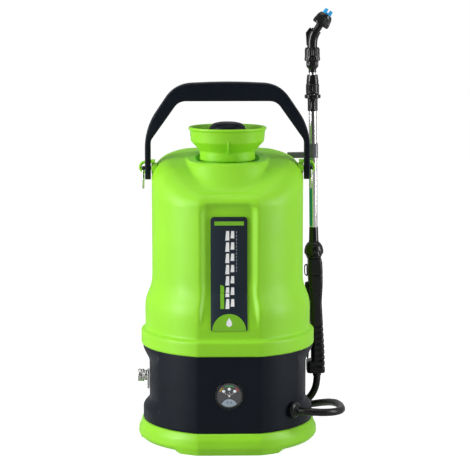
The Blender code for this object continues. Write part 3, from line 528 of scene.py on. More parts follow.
def smooth_route(stops, parts=6):
    """Points on a smooth curve through the stops."""
    padded = [2 * stops[0] - stops[1]] + stops + [2 * stops[-1] - stops[-2]]
    route = []
    for a, b, c, d in zip(padded, padded[1:], padded[2:], padded[3:]):
        for k in range(parts):
            t = k / parts
            route.append(0.5 * (2 * b + (c - a) * t + (2 * a - 5 * b + 4 * c - d) * t * t
                                + (3 * b - a - 3 * c + d) * t ** 3))
    return route + [stops[-1]]


def make_hose(grommet, tie):
    """The hose as one cord, from the boot at the base and round its coil through the tie; the grommet and
    tie that it is given are not used.
    """
    curve = bpy.data.curves.new("garden_hose", "CURVE")
    curve.dimensions = "3D"
    curve.bevel_depth = HOSE_D / 2 * MM
    curve.bevel_resolution = 5
    curve.use_fill_caps = True
    route = smooth_route(hose_stops())
    line = curve.splines.new("POLY")
    line.points.add(len(route) - 1)
    for point, place in zip(line.points, route):
        point.co = (*(place * MM), 1)
    line.use_smooth = True
    hose = bpy.data.objects.new("garden_hose", curve)
    bpy.context.scene.collection.objects.link(hose)
    adopt(hose, "hose_front", "hose_rear", "hose_coil")


make_camera()
make_studio()


# ---- tank and base

THETAS = np.radians(np.concatenate([np.arange(-24, 24, 0.5), np.arange(24, 336, 2)]))
SINES, COSINES = np.sin(THETAS), np.cos(THETAS)
AROUND = np.abs(np.degrees(np.arctan2(SINES, COSINES)))


def flat_round(radius, half, soft=0.35):
    """Distances from the axis, at each angle from the front, to a round wall with a flat front whose
    half width is given."""
    front = math.sqrt(radius * radius - half * half)
    flat = np.where(COSINES > 0.3, front / np.maximum(COSINES, 0.3), 1e3)
    return -soft_max(-radius, -flat, soft)


def level(distances, z):
    """A row of points at a height, at these distances from the axis."""
    return np.stack([distances * SINES, -distances * COSINES, np.broadcast_to(z, SINES.shape)], 1)


def through(stops, value):
    """Each column of the stops read at a value of the first, on straight runs."""
    stops = np.array(stops, float)
    return [np.interp(value, stops[:, 0], stops[:, k]) for k in range(1, stops.shape[1])]


# The shoulder's height at each y, the wall's radius and the front's half width at each height, and the
# recess's outer and inner half width and depth at each height
TOP_SLOPE = ((-84, 303), (-70, 305.5), (-50, 316), (-25, 330), (0, 338.5), (25, 343.5), (50, 346.5))
WALL_ROWS = ((117.3, 103.2, 36.6), (118, 103.9, 36.8), (119.2, 104, 36.8), (132.6, 104, 36.8),
             (134, 103.6, 36.8), (135.2, 101.6, 36.7), (136.2, 99.6, 36.5), (137.6, 98.9, 36.5),
             (150, 99.1, 36.5), (160, 99.2, 36.5), (166, 98.9, 36.4), (171, 98.1, 36.1),
             (176, 96.5, 35.5), (181, 94.4, 34.9), (186, 92.5, 34.4), (191, 91.3, 34.1),
             (197, 90.7, 33.9), (206, 90.5, 33.8), (300, 90.5, 33.8))
PANEL_ROWS = ((148, 36.3, 36, 93), (152, 36.3, 35.2, 91.6), (158, 36.3, 33.5, 90.6),
              (166, 36.2, 31, 88.4), (173, 35.8, 29.4, 86.2), (180, 35.2, 28.4, 83.9),
              (186, 34.6, 27.8, 82), (192, 34.1, 27.4, 80.7), (199, 33.9, 27.2, 79.9),
              (210, 33.8, 27.1, 79.5), (284, 33.8, 27.1, 79.5), (287.5, 33.5, 26.8, 79.6),
              (290.5, 32.7, 26, 80.3), (293, 31.2, 25, 81.8), (296.5, 27.5, 23, 84.8),
              (299, 24, 21, 87.5))


def tank_top(x, y, edge):
    """The height of the tank's top at a place that is edge in from the wall."""
    angle = np.abs(np.degrees(np.arctan2(x, -y)))
    radius = 12 + 11 * smooth(angle, 18, 68)
    inside = np.maximum(radius - edge, 0)
    slope = np.array(TOP_SLOPE)
    shoulder = np.interp(y, slope[:, 0], slope[:, 1]) - radius + np.sqrt(radius ** 2 - inside ** 2)
    ahead = -y - np.sqrt(np.maximum(MOUND_R ** 2 - x * x, 0))
    behind = 3 * (np.hypot(x, y) - MOUND_R)
    past = np.where((y < 0) & (np.abs(x) < MOUND_R), ahead, behind)
    mound = MOUND_TOP - np.maximum(past, 0) * 1.62
    return soft_max(shoulder, mound, 2.5)


def panel_depth(x, z):
    """How far back, in y, the recess's surface stands; far in front where there is none."""
    wide, narrow, floor = through(PANEL_ROWS, z)
    skin = floor + np.where(z < 200, 5.2, 4.4)
    slope = (skin - floor) / np.maximum(wide - narrow, 1)
    past = np.abs(x) - narrow
    softly = 0.8 * np.log1p(np.exp(np.clip(past / 0.8, -30, 30)))
    return np.where((z > 149) & (z < 299), -floor - slope * softly, -1e3)


def recessed(row):
    """A row of points with those in front of the recess pushed back to it."""
    x, y, z = row[:, 0], row[:, 1], row[:, 2]
    back = panel_depth(x, z)
    ahead = (y < -60) & (back > -200)
    return np.stack([x, np.where(ahead, soft_max(y, back, 0.45), y), z], 1)


def tank_outside():
    """The tank's outer rows: up the wall, over the shoulder and the mound, and in to the neck's foot."""
    rows = []
    bend, crown, mouth = 278, 26, 38.5
    heights = np.concatenate([[117.3, 117.6, 118.2, 119.2, 122, 126, 130, 132.6, 133.4, 134.2, 134.8, 135.4,
                               136, 136.8, 137.8, 140, 143, 146], np.arange(148, 206, 1.5),
                              np.arange(206, bend, 4)])
    for z in heights:
        radius, half = through(WALL_ROWS, z)
        rows.append(level(flat_round(float(radius), float(half)), z))
    wall = flat_round(TANK_R, TANK_HALF)
    rim = level(wall, 0)
    top = tank_top(rim[:, 0], rim[:, 1], np.zeros(len(wall)))
    for share in np.linspace(0, 0.98, 18):
        rows.append(level(wall, bend + (top - bend) * share))
    for edge in crown * (1 - np.cos(np.linspace(0, math.pi / 2, 22))):
        place = level(wall - edge, 0)
        rows.append(level(wall - edge, tank_top(place[:, 0], place[:, 1], edge)))
    for share in np.linspace(0, 1, 18)[1:]:
        reach = (wall - crown) * (1 - share) + mouth * share
        place = level(reach, 0)
        rows.append(level(reach, tank_top(place[:, 0], place[:, 1], 40)))
    return [recessed(row) for row in rows]


def tank_inside(outside):
    """The tank's inner rows, a wall's thickness in from every sixth outer row, from the shoulder down."""
    inner = []
    for row in outside[-30::-6]:
        distance = np.hypot(row[:, 0], row[:, 1])
        shrink = (distance - TANK_WALL) / distance
        drop = np.where(row[:, 2] > 250, TANK_WALL, 0)
        inner.append(np.stack([row[:, 0] * shrink, row[:, 1] * shrink, row[:, 2] - drop], 1))
    return [row for row in inner if row[:, 2].min() > 122]


def make_tank():
    """The tank in one skin, with its neck, and a boss at each side for the handle."""
    outside = tank_outside()
    seat = ((37.4, 337), (36.9, 336.7), (36.6, 336), (36.2, 335.5), (35.4, 335.3), (33, 335.3),
            (NECK_R, 335.3), (NECK_R, NECK_TOP - 0.5), (NECK_R - 0.5, NECK_TOP), (NECK_BORE, NECK_TOP),
            (NECK_BORE, 331))
    neck = [level(np.full(len(THETAS), radius), z) for radius, z in seat]
    floor = level(flat_round(92, 33), 120.8)
    adopt(loft("tank_body", outside + neck + tank_inside(outside) + [floor], sharp=50), "tank_shell")
    for side, x in (("left", -1), ("right", 1)):
        outline = [(0, 0), (6.5, 0), (6.5, 6), (6, 6.6), (3.2, 6.6), (0, 6.6)]
        boss = lathe(f"pivot_boss_{side}", outline, placed(x * 84, 0, PIVOT_Z, x * 90, "Y"))
        detail(boss, "tank_shell", "tank_green")


def niche_share(z):
    """How much of its full depth a side niche has at a height."""
    return float(smooth(z, NICHE_LOW, 52) * smooth(-z, -NICHE_HIGH, -94))


def make_band():
    """The base's dark wall, with a niche at each side and holes for the gauge, the charger and the hose."""
    window = smooth(AROUND, 54, 56.5) * smooth(-AROUND, -126, -123.5)
    outer, inner = [], []
    heights = [BAND_LOW, 26.1, 26.8, 30, 36] + list(np.arange(39, 54, 1)) + [58, 66, 74, 82, 90]
    heights += list(np.arange(93, 116, 1.2)) + [116.2, 116.8, BAND_HIGH]
    for z in heights:
        edge = 0.6 if z in (BAND_LOW, BAND_HIGH) else 0.15 if z in (26.1, 116.8) else 0
        deep = NICHE_DEPTH * niche_share(z) * window
        outer.append(level(flat_round(BAND_R - edge, 36.8) - deep, z))
        inner.append(level(flat_round(BAND_R - 3, 35.8) - deep, z))
    band = loft("base_band", outer + inner[::-3] + [inner[0]], ring=True, sharp=30)
    for hole, spot in ((16.1, GAUGE @ placed(0, 0, -12)), (8, placed(0, 92, 62, -90, "X")),
                       (7, grommet_place() @ placed(0, 0, -20))):
        carve(band, lathe("hole", disc(hole, 0, 34), spot, soft=0))
    adopt(band, "base_housing")


def grommet_place():
    """The boot's frame, facing out of the base along the hose."""
    return Matrix.Translation(GROMMET) @ GROMMET_AIM.to_track_quat("Z", "Y").to_matrix().to_4x4()


def front_plinth(x):
    """The share of the plinth at a place across the foot."""
    return smooth(-np.abs(x), -62.5, -59.5)


def make_tray():
    """The foot as a dish: its sections give radius, front's half width, height and the plinth's share."""
    sections = ((40, 12, 3.6, 0), (103.5, 36.8, 3.6, 1), (104.4, 36.8, 4.3, 0.9), (107.2, 36.8, 7.6, 0),
                (107.6, 36.8, 8.8, 0), (107.4, 36.8, 12, 0), (107.2, 36.8, 15, 0),
                (107, 36.8, 17.6, 0), (106.7, 36.8, 18.8, 0), (106, 36.8, 20.2, 0),
                (105.2, 36.8, 21.6, 0), (104.4, 36.8, 23, 0), (103.7, 36.8, 24.2, 0),
                (103.1, 36.8, 25.1, 0), (102.4, 36.6, 25.5, 0), (96, 34.5, 25.5, 0),
                (95, 34, 7, 0), (40, 12, 7, 0))
    scoop_x, scoop_z, scoop_r = 112.5, 22.5, 9
    rows = []
    for radius, half, z, plinth in sections:
        row = level(flat_round(radius, half), z)
        x, y = row[:, 0].copy(), row[:, 1]
        if radius > 100 and abs(z - scoop_z) < scoop_r:
            limit = scoop_x - math.sqrt(scoop_r ** 2 - (z - scoop_z) ** 2)
            dent = np.maximum(np.abs(x) - limit, 0) * smooth(-np.abs(y), -52, -30)
            row[:, 0] = np.sign(x) * (np.abs(x) - dent)
        if plinth:
            side = smooth(np.abs(x), 91, 93) * smooth(-np.abs(y), -12, -10)
            row[:, 2] *= 1 - np.maximum(front_plinth(x), side) * plinth
        rows.append(row)
    flat_bottom = level(flat_round(97, 34.5), 3.6)
    flat_bottom[:, 2] *= 1 - front_plinth(flat_bottom[:, 0])
    rows.insert(1, flat_bottom)
    rows[0][:, 2] = 0
    adopt(loft("foot", rows, sharp=30), "foot_tray")


make_tank()
make_band()
make_tray()


# ---- label and gauge

def label_y(z, lift=0):
    """Where the label's front stands at a height."""
    floor = np.interp(z, [140, 150, 158, 166, 180, 190, 198],
                      [92.1, 91.8, 90.6, 88.6, 84.2, 81, 79.8])
    return -(max(float(floor), 79.5) + 1.1 + lift)


def printed(name, look, low, high, left, right, lift=0.06):
    """A print on the label between two heights, from left(z) to right(z)."""
    count = max(2, math.ceil((high - low) / 1.2))
    heights = np.linspace(low, high, count + 1)
    points, faces = [], []
    for z in heights:
        points += [(left(z), label_y(z, lift), z), (right(z), label_y(z, lift), z)]
    for k in range(count):
        faces.append((2 * k, 2 * k + 1, 2 * k + 3, 2 * k + 2))
    detail(mesh_piece(name, points, faces), "label_plate", look)


def make_label():
    """The label's plate with its plain prints: a strip, blocks, dashes, a bar, an arch and a drop."""
    rows = []
    corner = 4
    heights = np.concatenate([np.arange(147, 274, 2), 275 + corner * np.sin(np.linspace(0, 1.5, 7))])
    for z in heights:
        half = 21.3 - corner + math.sqrt(max(corner ** 2 - max(z - 275, 0) ** 2, 0.01))
        half -= max(148.2 - z, 0) * 0.8
        back, front = label_y(z, -0.7), label_y(z)
        rows.append([(-half, back, z), (-half, front + 0.25, z), (0.25 - half, front, z),
                     (half - 0.25, front, z), (half, front + 0.25, z), (half, back, z)])
    adopt(loft("label", rows, sharp=50), "label_plate")
    printed("label_strip", "print_green", 269.1, 273.8, lambda z: -16.8, lambda z: 17.3)
    for k in range(7):
        low = 172.4 + 13.2 * k
        for part, x0, x1, lift in (("a", -4.3, 0.4, 0), ("b", 1.6, 6.2, 2.5)):
            printed(f"label_block_{k}{part}", "print_white", low + lift, low + 11,
                    lambda z: x0 + 0.1 * (z - low), lambda z: x1 - 0.02 * (z - low))
    for k in range(12):
        low = 214.6 + 4.1 * k
        printed(f"label_dash_{k}", "print_grey", low, low + 2.6, lambda z: 8.3, lambda z: 9.3)
    printed("label_bar", "print_green", 172.4, 199.6, lambda z: -10.1,
            lambda z: -5.7 if z < 198 else -5.7 - (z - 198) * 2.6)

    def arch(z):
        return math.sqrt(max(19.7 ** 2 - max(z - 147.1, 0) ** 2, 0))
    printed("label_arch", "print_green", 147.1, 166.7, lambda z: -arch(z), arch)

    def drop(z):
        share = (z - 152) / 10.5
        return 3.4 * math.sin(math.pi * share ** 0.62) if 0 < share < 1 else 0
    printed("label_drop", "print_white", 152, 162.5, lambda z: -drop(z), drop, 0.12)


def half_moon(inside):
    """The button's outline: the part of the dial under an arc, smaller by a margin all round."""
    dial, bow, drop = 13.4 - inside, 9.5 - inside, 13.7
    meet = -(dial * dial - bow * bow + drop * drop) / (2 * drop)
    half = math.sqrt(dial * dial - meet * meet)
    low = math.atan2(half, -meet)
    high = math.atan2(half, meet + drop)
    outline = []
    for angle in np.linspace(-low, low, 25):
        outline.append((dial * math.sin(angle), -dial * math.cos(angle)))
    for angle in np.linspace(high, -high, 25)[1:-1]:
        outline.append((bow * math.sin(angle), -drop + bow * math.cos(angle)))
    return outline


def make_gauge():
    """The round dial: a bezel, a face with three lights, a half-moon button and small plain marks."""
    ring = [(15.2, 1.2), (16.6, 0.9), (16.6, 0.3), (15.8, 0.3), (15.8, -6), (15.2, -6)]
    adopt(lathe("gauge_ring", ring, GAUGE, 96, 0.3), "gauge_bezel")
    face = lathe("dial_face", [(0, 0.7), (14.3, 0.7), (14.9, 0.5), (14.9, -1.2), (0, -1.2)], GAUGE, 96, 0.2)
    turn = GAUGE @ placed(0, 0, 0, -90, "X")
    carve(face, plate("moon_hole", half_moon(-0.35), -4, 4, 0.01, turn))
    for x, y in GAUGE_LIGHTS:
        carve(face, lathe("light_hole", disc(2.1, -4, 4), GAUGE @ placed(x, y, 0), 32, 0))
    adopt(face, "gauge_face")
    dome = [(0, -3), (1.75, -3), (1.75, 0.5), (1.5, 0.85), (0.9, 1.05), (0, 1.1)]
    for x, y in GAUGE_LIGHTS:
        lens = lathe("light_lens", dome, GAUGE @ placed(x, y, 0), 32, 0.2)
        detail(lens, "gauge_lights", "gauge_light")
    adopt(block("lights_board", (-9.5, 1.5, -4.6), (9.5, 10.5, -3), 0.4, GAUGE), "gauge_lights")
    adopt(plate("moon_button", half_moon(0), -1.5, 2.2, 0.5, turn, 4), "test_button")
    for k, x in enumerate((-2, 2)):
        notch = block(f"button_notch_{k}", (x - 0.5, -9.2, 1.4), (x + 0.5, -6.9, 1.58), 0.06, GAUGE)
        detail(notch, "test_button", "gauge_grey")
    marks = (("print_yellow", -9.4, 7.2, 45, 4.6), ("print_red", 9.4, 7.2, -45, 4.6),
             ("print_leaf", -2.6, 11.2, 8, 4.4), ("print_leaf", 2.6, 11.2, -8, 4.4))
    for k, (look, x, y, tilt, long) in enumerate(marks):
        spot = GAUGE @ placed(x, y, 0.76, tilt)
        bar = block(f"dial_mark_{k}", (-long / 2, -0.45, -0.04), (long / 2, 0.45, 0.04), 0.03, spot, 1)
        detail(bar, "gauge_face", look)
        for end in (-1, 1):
            tick = block(f"dial_tick_{k}_{end}", (end * long / 2 - 0.35, -1.3, -0.04),
                         (end * long / 2 + 0.35, 0, 0.04), 0.03, spot, 1)
            detail(tick, "gauge_face", look)
    for k, (x, y) in enumerate(((-4.3, 2.2), (-1.9, 1.6), (1.9, 1.6), (4.3, 2.2), (0, 3.4))):
        dot = [(0, 0), (0.45, 0), (0.45, 0.1), (0, 0.12)]
        detail(lathe(f"dial_dot_{k}", dot, GAUGE @ placed(x, y, 0.7), 16, 0.02), "gauge_face", "print_white")
    wedge = plate("dial_wedge", [(0, -2.4), (1.7, 0.6), (-1.7, 0.6)], -0.78, -0.7, 0.02, turn, 1)
    detail(wedge, "gauge_face", "print_white")


# ---- filler and cap

def make_filler():
    """The collar with its pouring rim, the cap in it and the cap's seal."""
    outline = [(17.9, 346.5), (17.9, 354.2), (24, 355), (38.5, 358.6), (41.6, 361.5), (42.6, 372),
               (43.4, 375.6), (44.9, 377.2), (46.2, 376.6), (46.7, 375), (46, 373.6), (44.9, 373),
               (43.7, 360.2), (42.8, 359), (33.9, 349.6), (33, 348.2), (33, 337.6), (29.5, 337.6),
               (29.5, 352.2), (20.4, 352.2), (20.4, 346.5)]
    adopt(lathe("pouring_collar", outline, steps=128, soft=1.1), "filler_funnel")
    outline = [(-32.6, 346.5), (-35, 346.2), (-37.6, 347.8), (-44.6, 357.6), (-45.2, 361),
               (-44.4, 362.8), (-42.5, 363.2)]
    rib = plate("collar_rib", outline[::-1], -0.9, 0.9, 0.4, placed(0, 0, 0, 90))
    detail(rib, "filler_funnel", "moulded_green")
    cap = [(0, 382.6), (10, 382.4), (16.5, 381), (20.4, 377.8), (22.2, 373.5), (22.6, 369),
           (22.6, 358.5), (21.8, 357.5), (15.6, 357.5), (15.6, 345.5), (0, 345.5)]
    ribs = flutes(30, 0.7, 358.8, 370, least=20)
    adopt(lathe("screw_cap", cap, steps=180, soft=1.2, ribs=ribs), "tank_cap")
    adopt(lathe("cap_seal", pipe(16, 21, 355.4, 357.1), steps=64, soft=0.5), "cap_gasket")


# ---- handle, loops and hooks

def rounded(corners, steps=10):
    """An outline whose corners, given as (x, z, radius), become arcs; its ends stay."""
    outline = [corners[0][:2]]
    for before, (x, z, radius), after in zip(corners, corners[1:], corners[2:]):
        here = Vector((x, z))
        a = (Vector(before[:2]) - here).normalized()
        b = (Vector(after[:2]) - here).normalized()
        half = a.angle(b) / 2
        middle = here + (a + b).normalized() * radius / math.sin(half)
        first = here + a * radius / math.tan(half) - middle
        turn = first.angle_signed(here + b * radius / math.tan(half) - middle)
        for k in range(steps + 1):
            p = middle + Matrix.Rotation(-turn * k / steps, 2) @ first
            outline.append((p.x, p.y))
    outline.append(corners[-1][:2])
    return outline


def resampled(outline, count):
    """The outline as so many points, evenly apart."""
    points = np.array(outline, float)
    runs = np.concatenate([[0], np.cumsum(np.linalg.norm(np.diff(points, axis=0), axis=1))])
    where = np.linspace(0, runs[-1], count)
    return np.stack([np.interp(where, runs, points[:, k]) for k in range(2)], 1)


def oblong(left, right, half, soft, steps):
    """A rounded oblong from left to right, half its width either way."""
    section = []
    for u, w, start in ((right - soft, half - soft, 0), (left + soft, half - soft, 90),
                        (left + soft, soft - half, 180), (right - soft, soft - half, 270)):
        for t in np.radians(np.linspace(start, start + 90, steps + 1)):
            section.append((u + soft * math.cos(t), w + soft * math.sin(t)))
    return section


def box_section(outer, inner, half, soft):
    """A rounded oblong between two points of a side view, half its width either way along Y."""
    outer, inner = np.array(outer), np.array(inner)
    span = np.linalg.norm(outer - inner)
    across = (outer - inner) / span
    soft = min(soft, span * 0.45, half * 0.9)
    places = [(inner + across * u, w) for u, w in oblong(0, span, half, soft, 4)]
    return [(place[0], w, place[1]) for place, w in places]


def handle_edge(corners, leg_top, corner):
    """One edge of the handle's left half in three runs: its leg, its slope and its bar."""
    points = resampled(rounded(corners), 400)
    first = int(np.argmin(np.abs(points[:, 1] - leg_top)))
    second = int(np.argmin(np.hypot(points[:, 0] - corner[0], points[:, 1] - corner[1])))
    return [resampled(points[a:b + 1], count) for a, b, count in
            ((0, first, 26), (first, second, 22), (second, 399, 16))]


def make_handle():
    """The handle's bail, lofted from its left foot over to its right one."""
    outer = [(-98.4, 314, 0), (-98.4, 375.1, 75), (-62.6, 428, 38), (-20, 429.8, 30),
             (0, 430.1, 0)]
    inner = [(-91.4, 314, 0), (-91.4, 360.6, 10), (-57.9, 407.6, 15), (0, 407.6, 0)]
    edges = handle_edge(outer, 352, (-62.6, 428)), handle_edge(inner, 350, (-57.9, 407))
    foot, foot_top = 7, -6.9
    rows = []
    for outer_run, inner_run in zip(*edges):
        for far, near in zip(outer_run, inner_run):
            z = far[1] - PIVOT_Z
            wide = float(np.interp(z, [-13.6, 38, 56, 70], [foot, foot, 9.6, 10.5]))
            if z < foot_top:
                wide = math.sqrt(max(foot ** 2 - (z - foot_top) ** 2, 4))
            rows.append((far, near, wide))
    mirrored = [((-far[0], far[1]), (-near[0], near[1]), wide) for far, near, wide in rows[::-1]]
    sections = [box_section(far, near, wide, 2.2) for far, near, wide in rows + mirrored[1:]]
    adopt(loft("carry_handle", sections, sharp=40), "bail_handle")


def make_hooks():
    """At each side the handle's pivot, the strap's eye and the spring hook in it."""
    hook_x, hook_y, hook_r = 100.9, 18, 5.6
    for side, x in (("left", -1), ("right", 1)):
        spot = placed(x * 90.9, 0, PIVOT_Z, x * 90, "Y")
        head = [(0, 0), (2.45, 0), (2.45, 10.2), (2.1, 11), (1, 11.3), (0.7, 10.7), (0, 10.7)]
        adopt(lathe(f"pivot_stud_{side}", head, spot, 40, 0.3), f"pivot_pin_{side}")
        loop = [(86.6, hook_y, 333.4), (91, hook_y, 334)]
        for turn in np.radians(np.arange(90, -121, -7.5)):
            loop.append((98.6 + 5.9 * math.cos(turn), hook_y, 327 + 5.9 * math.sin(turn)))
        radii = [3, 2.3] + [1.8] * (len(loop) - 2)
        loop = [(x * px, py, pz) for px, py, pz in loop]
        adopt(tube(f"strap_eye_{side}", loop, radii), f"strap_loop_{side}")
        ring = []
        for turn in np.radians(np.arange(0, 360, 6)):
            stretch = 6.5 if math.sin(turn) < 0 else -6.5
            ring.append((x * hook_x, hook_y + hook_r * math.cos(turn),
                         325.9 + hook_r * math.sin(turn) - stretch - 12.1))
        adopt(tube(f"spring_hook_{side}", ring, 1.25, ring=True), f"snap_hook_{side}")
        sleeve = [(1.2, -4.5), (1.7, -4.2), (1.7, 4.2), (1.2, 4.5)]
        gate = lathe(f"hook_gate_{side}", sleeve, placed(x * hook_x, hook_y - hook_r, 313.8), 24, 0.2)
        detail(gate, f"snap_hook_{side}", "nickel")


# ---- knob, port, grommet, tie

def make_knob():
    """The knurled knob on its bracket in the left niche."""
    bracket = block("knob_plate", (-97.2, -8, 60.4), (-94.9, 8, 82.3), 0.6)
    carve(bracket, lathe("screw_hole", disc(1.6, -6, 6), placed(-96, 0, 63.6, 90, "Y"), 24, 0))
    adopt(bracket, "knob_bracket")
    neck = lathe("knob_neck", disc(6.4, 0, 3.9), placed(-96.5, 0, 75.8, -90, "Y"), 48, 0.4)
    detail(neck, "knob_bracket", "nickel")
    outline = [(0, 0), (6.9, 0), (7.7, 0.8), (7.7, 2.6), (7, 2.9), (7, 3.5), (7.7, 3.8), (7.7, 7.2),
               (6.9, 7.9), (3, 7.9), (2.6, 7.4), (0, 7.4)]
    knurl = flutes(24, 0.12, 3.9, 7.1, least=7.2)
    adopt(lathe("turned_knob", outline, placed(-100.7, 0, 75.8, -90, "Y"), 192, 0.3, knurl), "side_knob")


def make_charger():
    """The charger's inlet at the back and the rubber flap over it."""
    back = placed(0, 102, 62, -90, "X")
    adopt(lathe("charger_inlet", pipe(3.2, 7.6, 0.9, -9), back, 64, 0.5), "charge_socket")
    adopt(block("inlet_flap", (-10, 103.4, 52.5), (10, 105.4, 73.5), 0.8), "charge_flap")
    roll = tube("flap_roll", [(x, 104.4, 73.5) for x in (-10, -5, 0, 10)], 1.6)
    detail(roll, "charge_flap", "black_rubber")


def make_boot():
    """The rubber boot where the hose leaves the base."""
    outline = [(0, -17), (5.2, -17), (6.6, -15), (6.6, -5), (6.6, 1.4), (9.6, 1.4), (9.9, 3.2), (9.2, 5),
               (6.4, 6.2), (6, 9.5), (0, 9.5)]
    return adopt(lathe("hose_gland", outline, grommet_place(), 64, 0.9), "hose_grommet")


def make_tie():
    """The strap round all the coil's turns at its far side."""
    base, half, thick, inside = 0.2, 4, 1.1, 0.885
    corners = ((10.6, base), (10.6, 8.5), (5.6, 19.9), (-5.6, 19.9), (-10.6, 8.5), (-10.6, base))
    outline = [(0, base, 0)] + [(x, z, 2.5) for x, z in corners] + [(0, base, 0)]
    rows = []
    for x, z in resampled(rounded(outline, 5), 72)[:-1]:
        inner_x, inner_z = x * inside, base + thick + (z - base) * inside
        rows.append([(COIL_X + px, COIL_Y + COIL_R + qx, qz) for px, qx, qz in
                     ((-half, x, z), (-3.6, x, z), (half, x, z), (half, inner_x, inner_z),
                      (-half, inner_x, inner_z))])
    return adopt(loft("coil_tie", rows, ring=True, sharp=30), "hose_tie")


# ---- lance

def make_lance():
    """The lance's tubes, with their nuts and sleeves, up to the nozzle's union, and a teal strip on the
    lower tube's left side that is a painted reflection.
    """
    nut = [(5.2, 148), (9.2, 148), (9.2, 150.2), (10.3, 150.8), (10.3, 152), (9.6, 152.5),
           (11.8, 153.2), (11.8, 157.6), (10.6, 162.4), (7.8, 166.6), (5.9, 167.8), (5.2, 167.8)]
    adopt(lathe("domed_nut", nut, LANCE, 144, 0.6, flutes(12, 0.5, 153.4, 158, least=10)), "grip_nut")
    adopt(lathe("grip_sleeve", [(5.2, 168.1), (6.2, 168.1), (6.2, 169.4), (5.95, 169.8), (5.5, 186.1),
                                (5.2, 186.1)], LANCE, 64, 0.25), "taper_sleeve")
    adopt(lathe("lower_tube", pipe(4.3, 4.9, 148.4, 343), LANCE, 64, 0.2), "outer_tube")
    collet = [(5.2, 328.6), (5.9, 328.6), (6.2, 330), (6.2, 343.6), (9.5, 344.2), (9.8, 345),
              (9.8, 347.6), (9.4, 348.6), (5.2, 348.6)]
    adopt(lathe("collet_sleeve", collet, LANCE, 96, 0.5, flutes(6, 0.45, 330.2, 341, least=6)),
          "collet_body")
    nut = [(4.2, 348.9), (7.7, 348.9), (8.1, 350.2), (8.1, 360.5), (7.4, 361.4), (7.3, 365.4),
           (6.4, 372.7), (4.2, 372.7)]
    adopt(lathe("collet_cap", nut, LANCE, 144, 0.35, flutes(16, 0.45, 350.6, 360.3, least=7.5)),
          "collet_nut")
    # Painted reflection: a thin teal strip over the lower tube's left side, colour standing in for a
    # reflection in the steel, not a real sleeve
    sleeve = []
    for z in np.linspace(187.5, 270.5, 9):
        sleeve.append([(x, y, z) for x, y in arc(5.25, 150, 248, 14) + arc(4.95, 248, 150, 14)])
    detail(loft_open("painted_reflection_strip", sleeve, LANCE), "outer_tube", "teal_painted_reflection")
    adopt(lathe("upper_tube", pipe(3.3, 3.9, 190, 388), LANCE, 48, 0.2), "inner_tube")
    adaptor = [(4.2, 375.2), (4.7, 375.2), (4.7, 379.4), (7, 382), (7.5, 384.5), (7.5, 389),
               (4.2, 389)]
    adopt(lathe("tube_end", adaptor, LANCE, 96, 0.5, flutes(8, 0.4, 384, 388.6, least=7)),
          "tube_adaptor")
    nut = [(6.5, 389.4), (9.1, 389.4), (9.5, 390.6), (9.5, 393.2), (9.1, 394.2), (9.1, 403.4), (8.2, 405.6),
           (6.5, 405.6)]

    def beads(radii, heights, angles):
        low = smooth(heights, 389.6, 390.2) * smooth(-heights, -394.2, -393.6)
        high = smooth(heights, 395, 395.6) * smooth(-heights, -403.6, -403)
        wave = low * 0.55 * (1 - np.abs(np.cos(angles * 6))) + high * 0.4 * smooth(np.cos(angles * 18), 0, 1)
        return wave * (radii > 8.5)
    adopt(lathe("union_nut", nut, LANCE, 180, 0.4, beads), "coupling_nut")


def make_nozzle():
    """The bent elbow with its fin, the ribbed cap and the slotted tip."""
    path = [(0, 390), (0, 408), (0.2, 412.5), (1, 417), (2.6, 421.4), (4.7, 425.2)]
    line = smooth_route([Vector((x, 0, z)) for x, z in path], 5)
    elbow = tube("elbow_body", line, [6.1] * (len(line) - 3) + [6, 5.9, 5.6], steps=48, place=LANCE)
    adopt(elbow, "nozzle_elbow")
    neck = tube("elbow_neck", [(4, 0, 424.2), (6.4, 0, 427.8), (8.8, 0, 431.5), (11.2, 0, 435.2)], 4.4,
                steps=40, place=LANCE)
    detail(neck, "nozzle_elbow", "black_plastic")
    aim = placed(4.9, 0, 425.6, NOZZLE_TILT, "Y")
    step = [(0, -1), (5.6, -1), (6.3, -0.5), (6.3, 0.6), (5.6, 1.1), (0, 1.1)]
    detail(lathe("elbow_step", step, LANCE @ aim, 48, 0.3), "nozzle_elbow", "black_plastic")
    fin = [(-4, 407), (1.5, 418), (0.2, 427.6), (-2.6, 430), (-7.7, 423.5), (-6.9, 408.5)]
    detail(plate("elbow_fin", fin, -1.2, 1.2, 0.4, LANCE), "nozzle_elbow", "black_plastic")
    cap = [(5, 0), (9.6, 0), (10.6, 1.4), (10.6, 3.6), (9.2, 11.6), (7.4, 14.9), (6, 15.4), (6, 5.4),
           (5, 5.4)]
    adopt(lathe("spray_cap", cap, NOZZLE, 192, 0.9, flutes(32, 0.35, 2.4, 12, least=8.6)), "nozzle_cap")
    tip = lathe("spray_tip", [(0, 5.8), (5.6, 5.8), (5.6, 17), (5.2, 21.4), (0, 21.4)], NOZZLE, 64, 0.5)
    carve(tip, block("tip_slot", (-1.3, -8, 17.6), (1.3, 8, 24), 0.2, NOZZLE))
    for side in (-1, 1):
        carve(tip, block("tip_flat", (-9, side * 6.4 - 2.4, 16.4), (9, side * 6.4 + 2.4, 24), 0.2, NOZZLE))
    adopt(tip, "nozzle_tip")


def make_clip():
    """An open ring round the tube on an arm from the handle's side."""
    outer, inner = 7.2, 5.2
    section = np.array(arc(outer, 35, 325, 48) + arc(inner, 325, 35, 48))
    radii = np.hypot(section[:, 0], section[:, 1])
    rows = []
    for z, shrink in ((271.4, 0.25), (271.65, 0), (288.85, 0), (289.1, 0.25)):
        wanted = np.where(radii > (outer + inner) / 2, radii - shrink, radii + shrink)
        rows.append([(x, y, z) for x, y in section * (wanted / radii)[:, None]])
    adopt(loft_open("tube_clip", rows, LANCE), "lance_clip")
    arm = block("clip_arm", (-31.5, -4, 271.4), (-5.9, 4, 278.5), 0.9, LANCE)
    detail(arm, "lance_clip", "clip_grey")


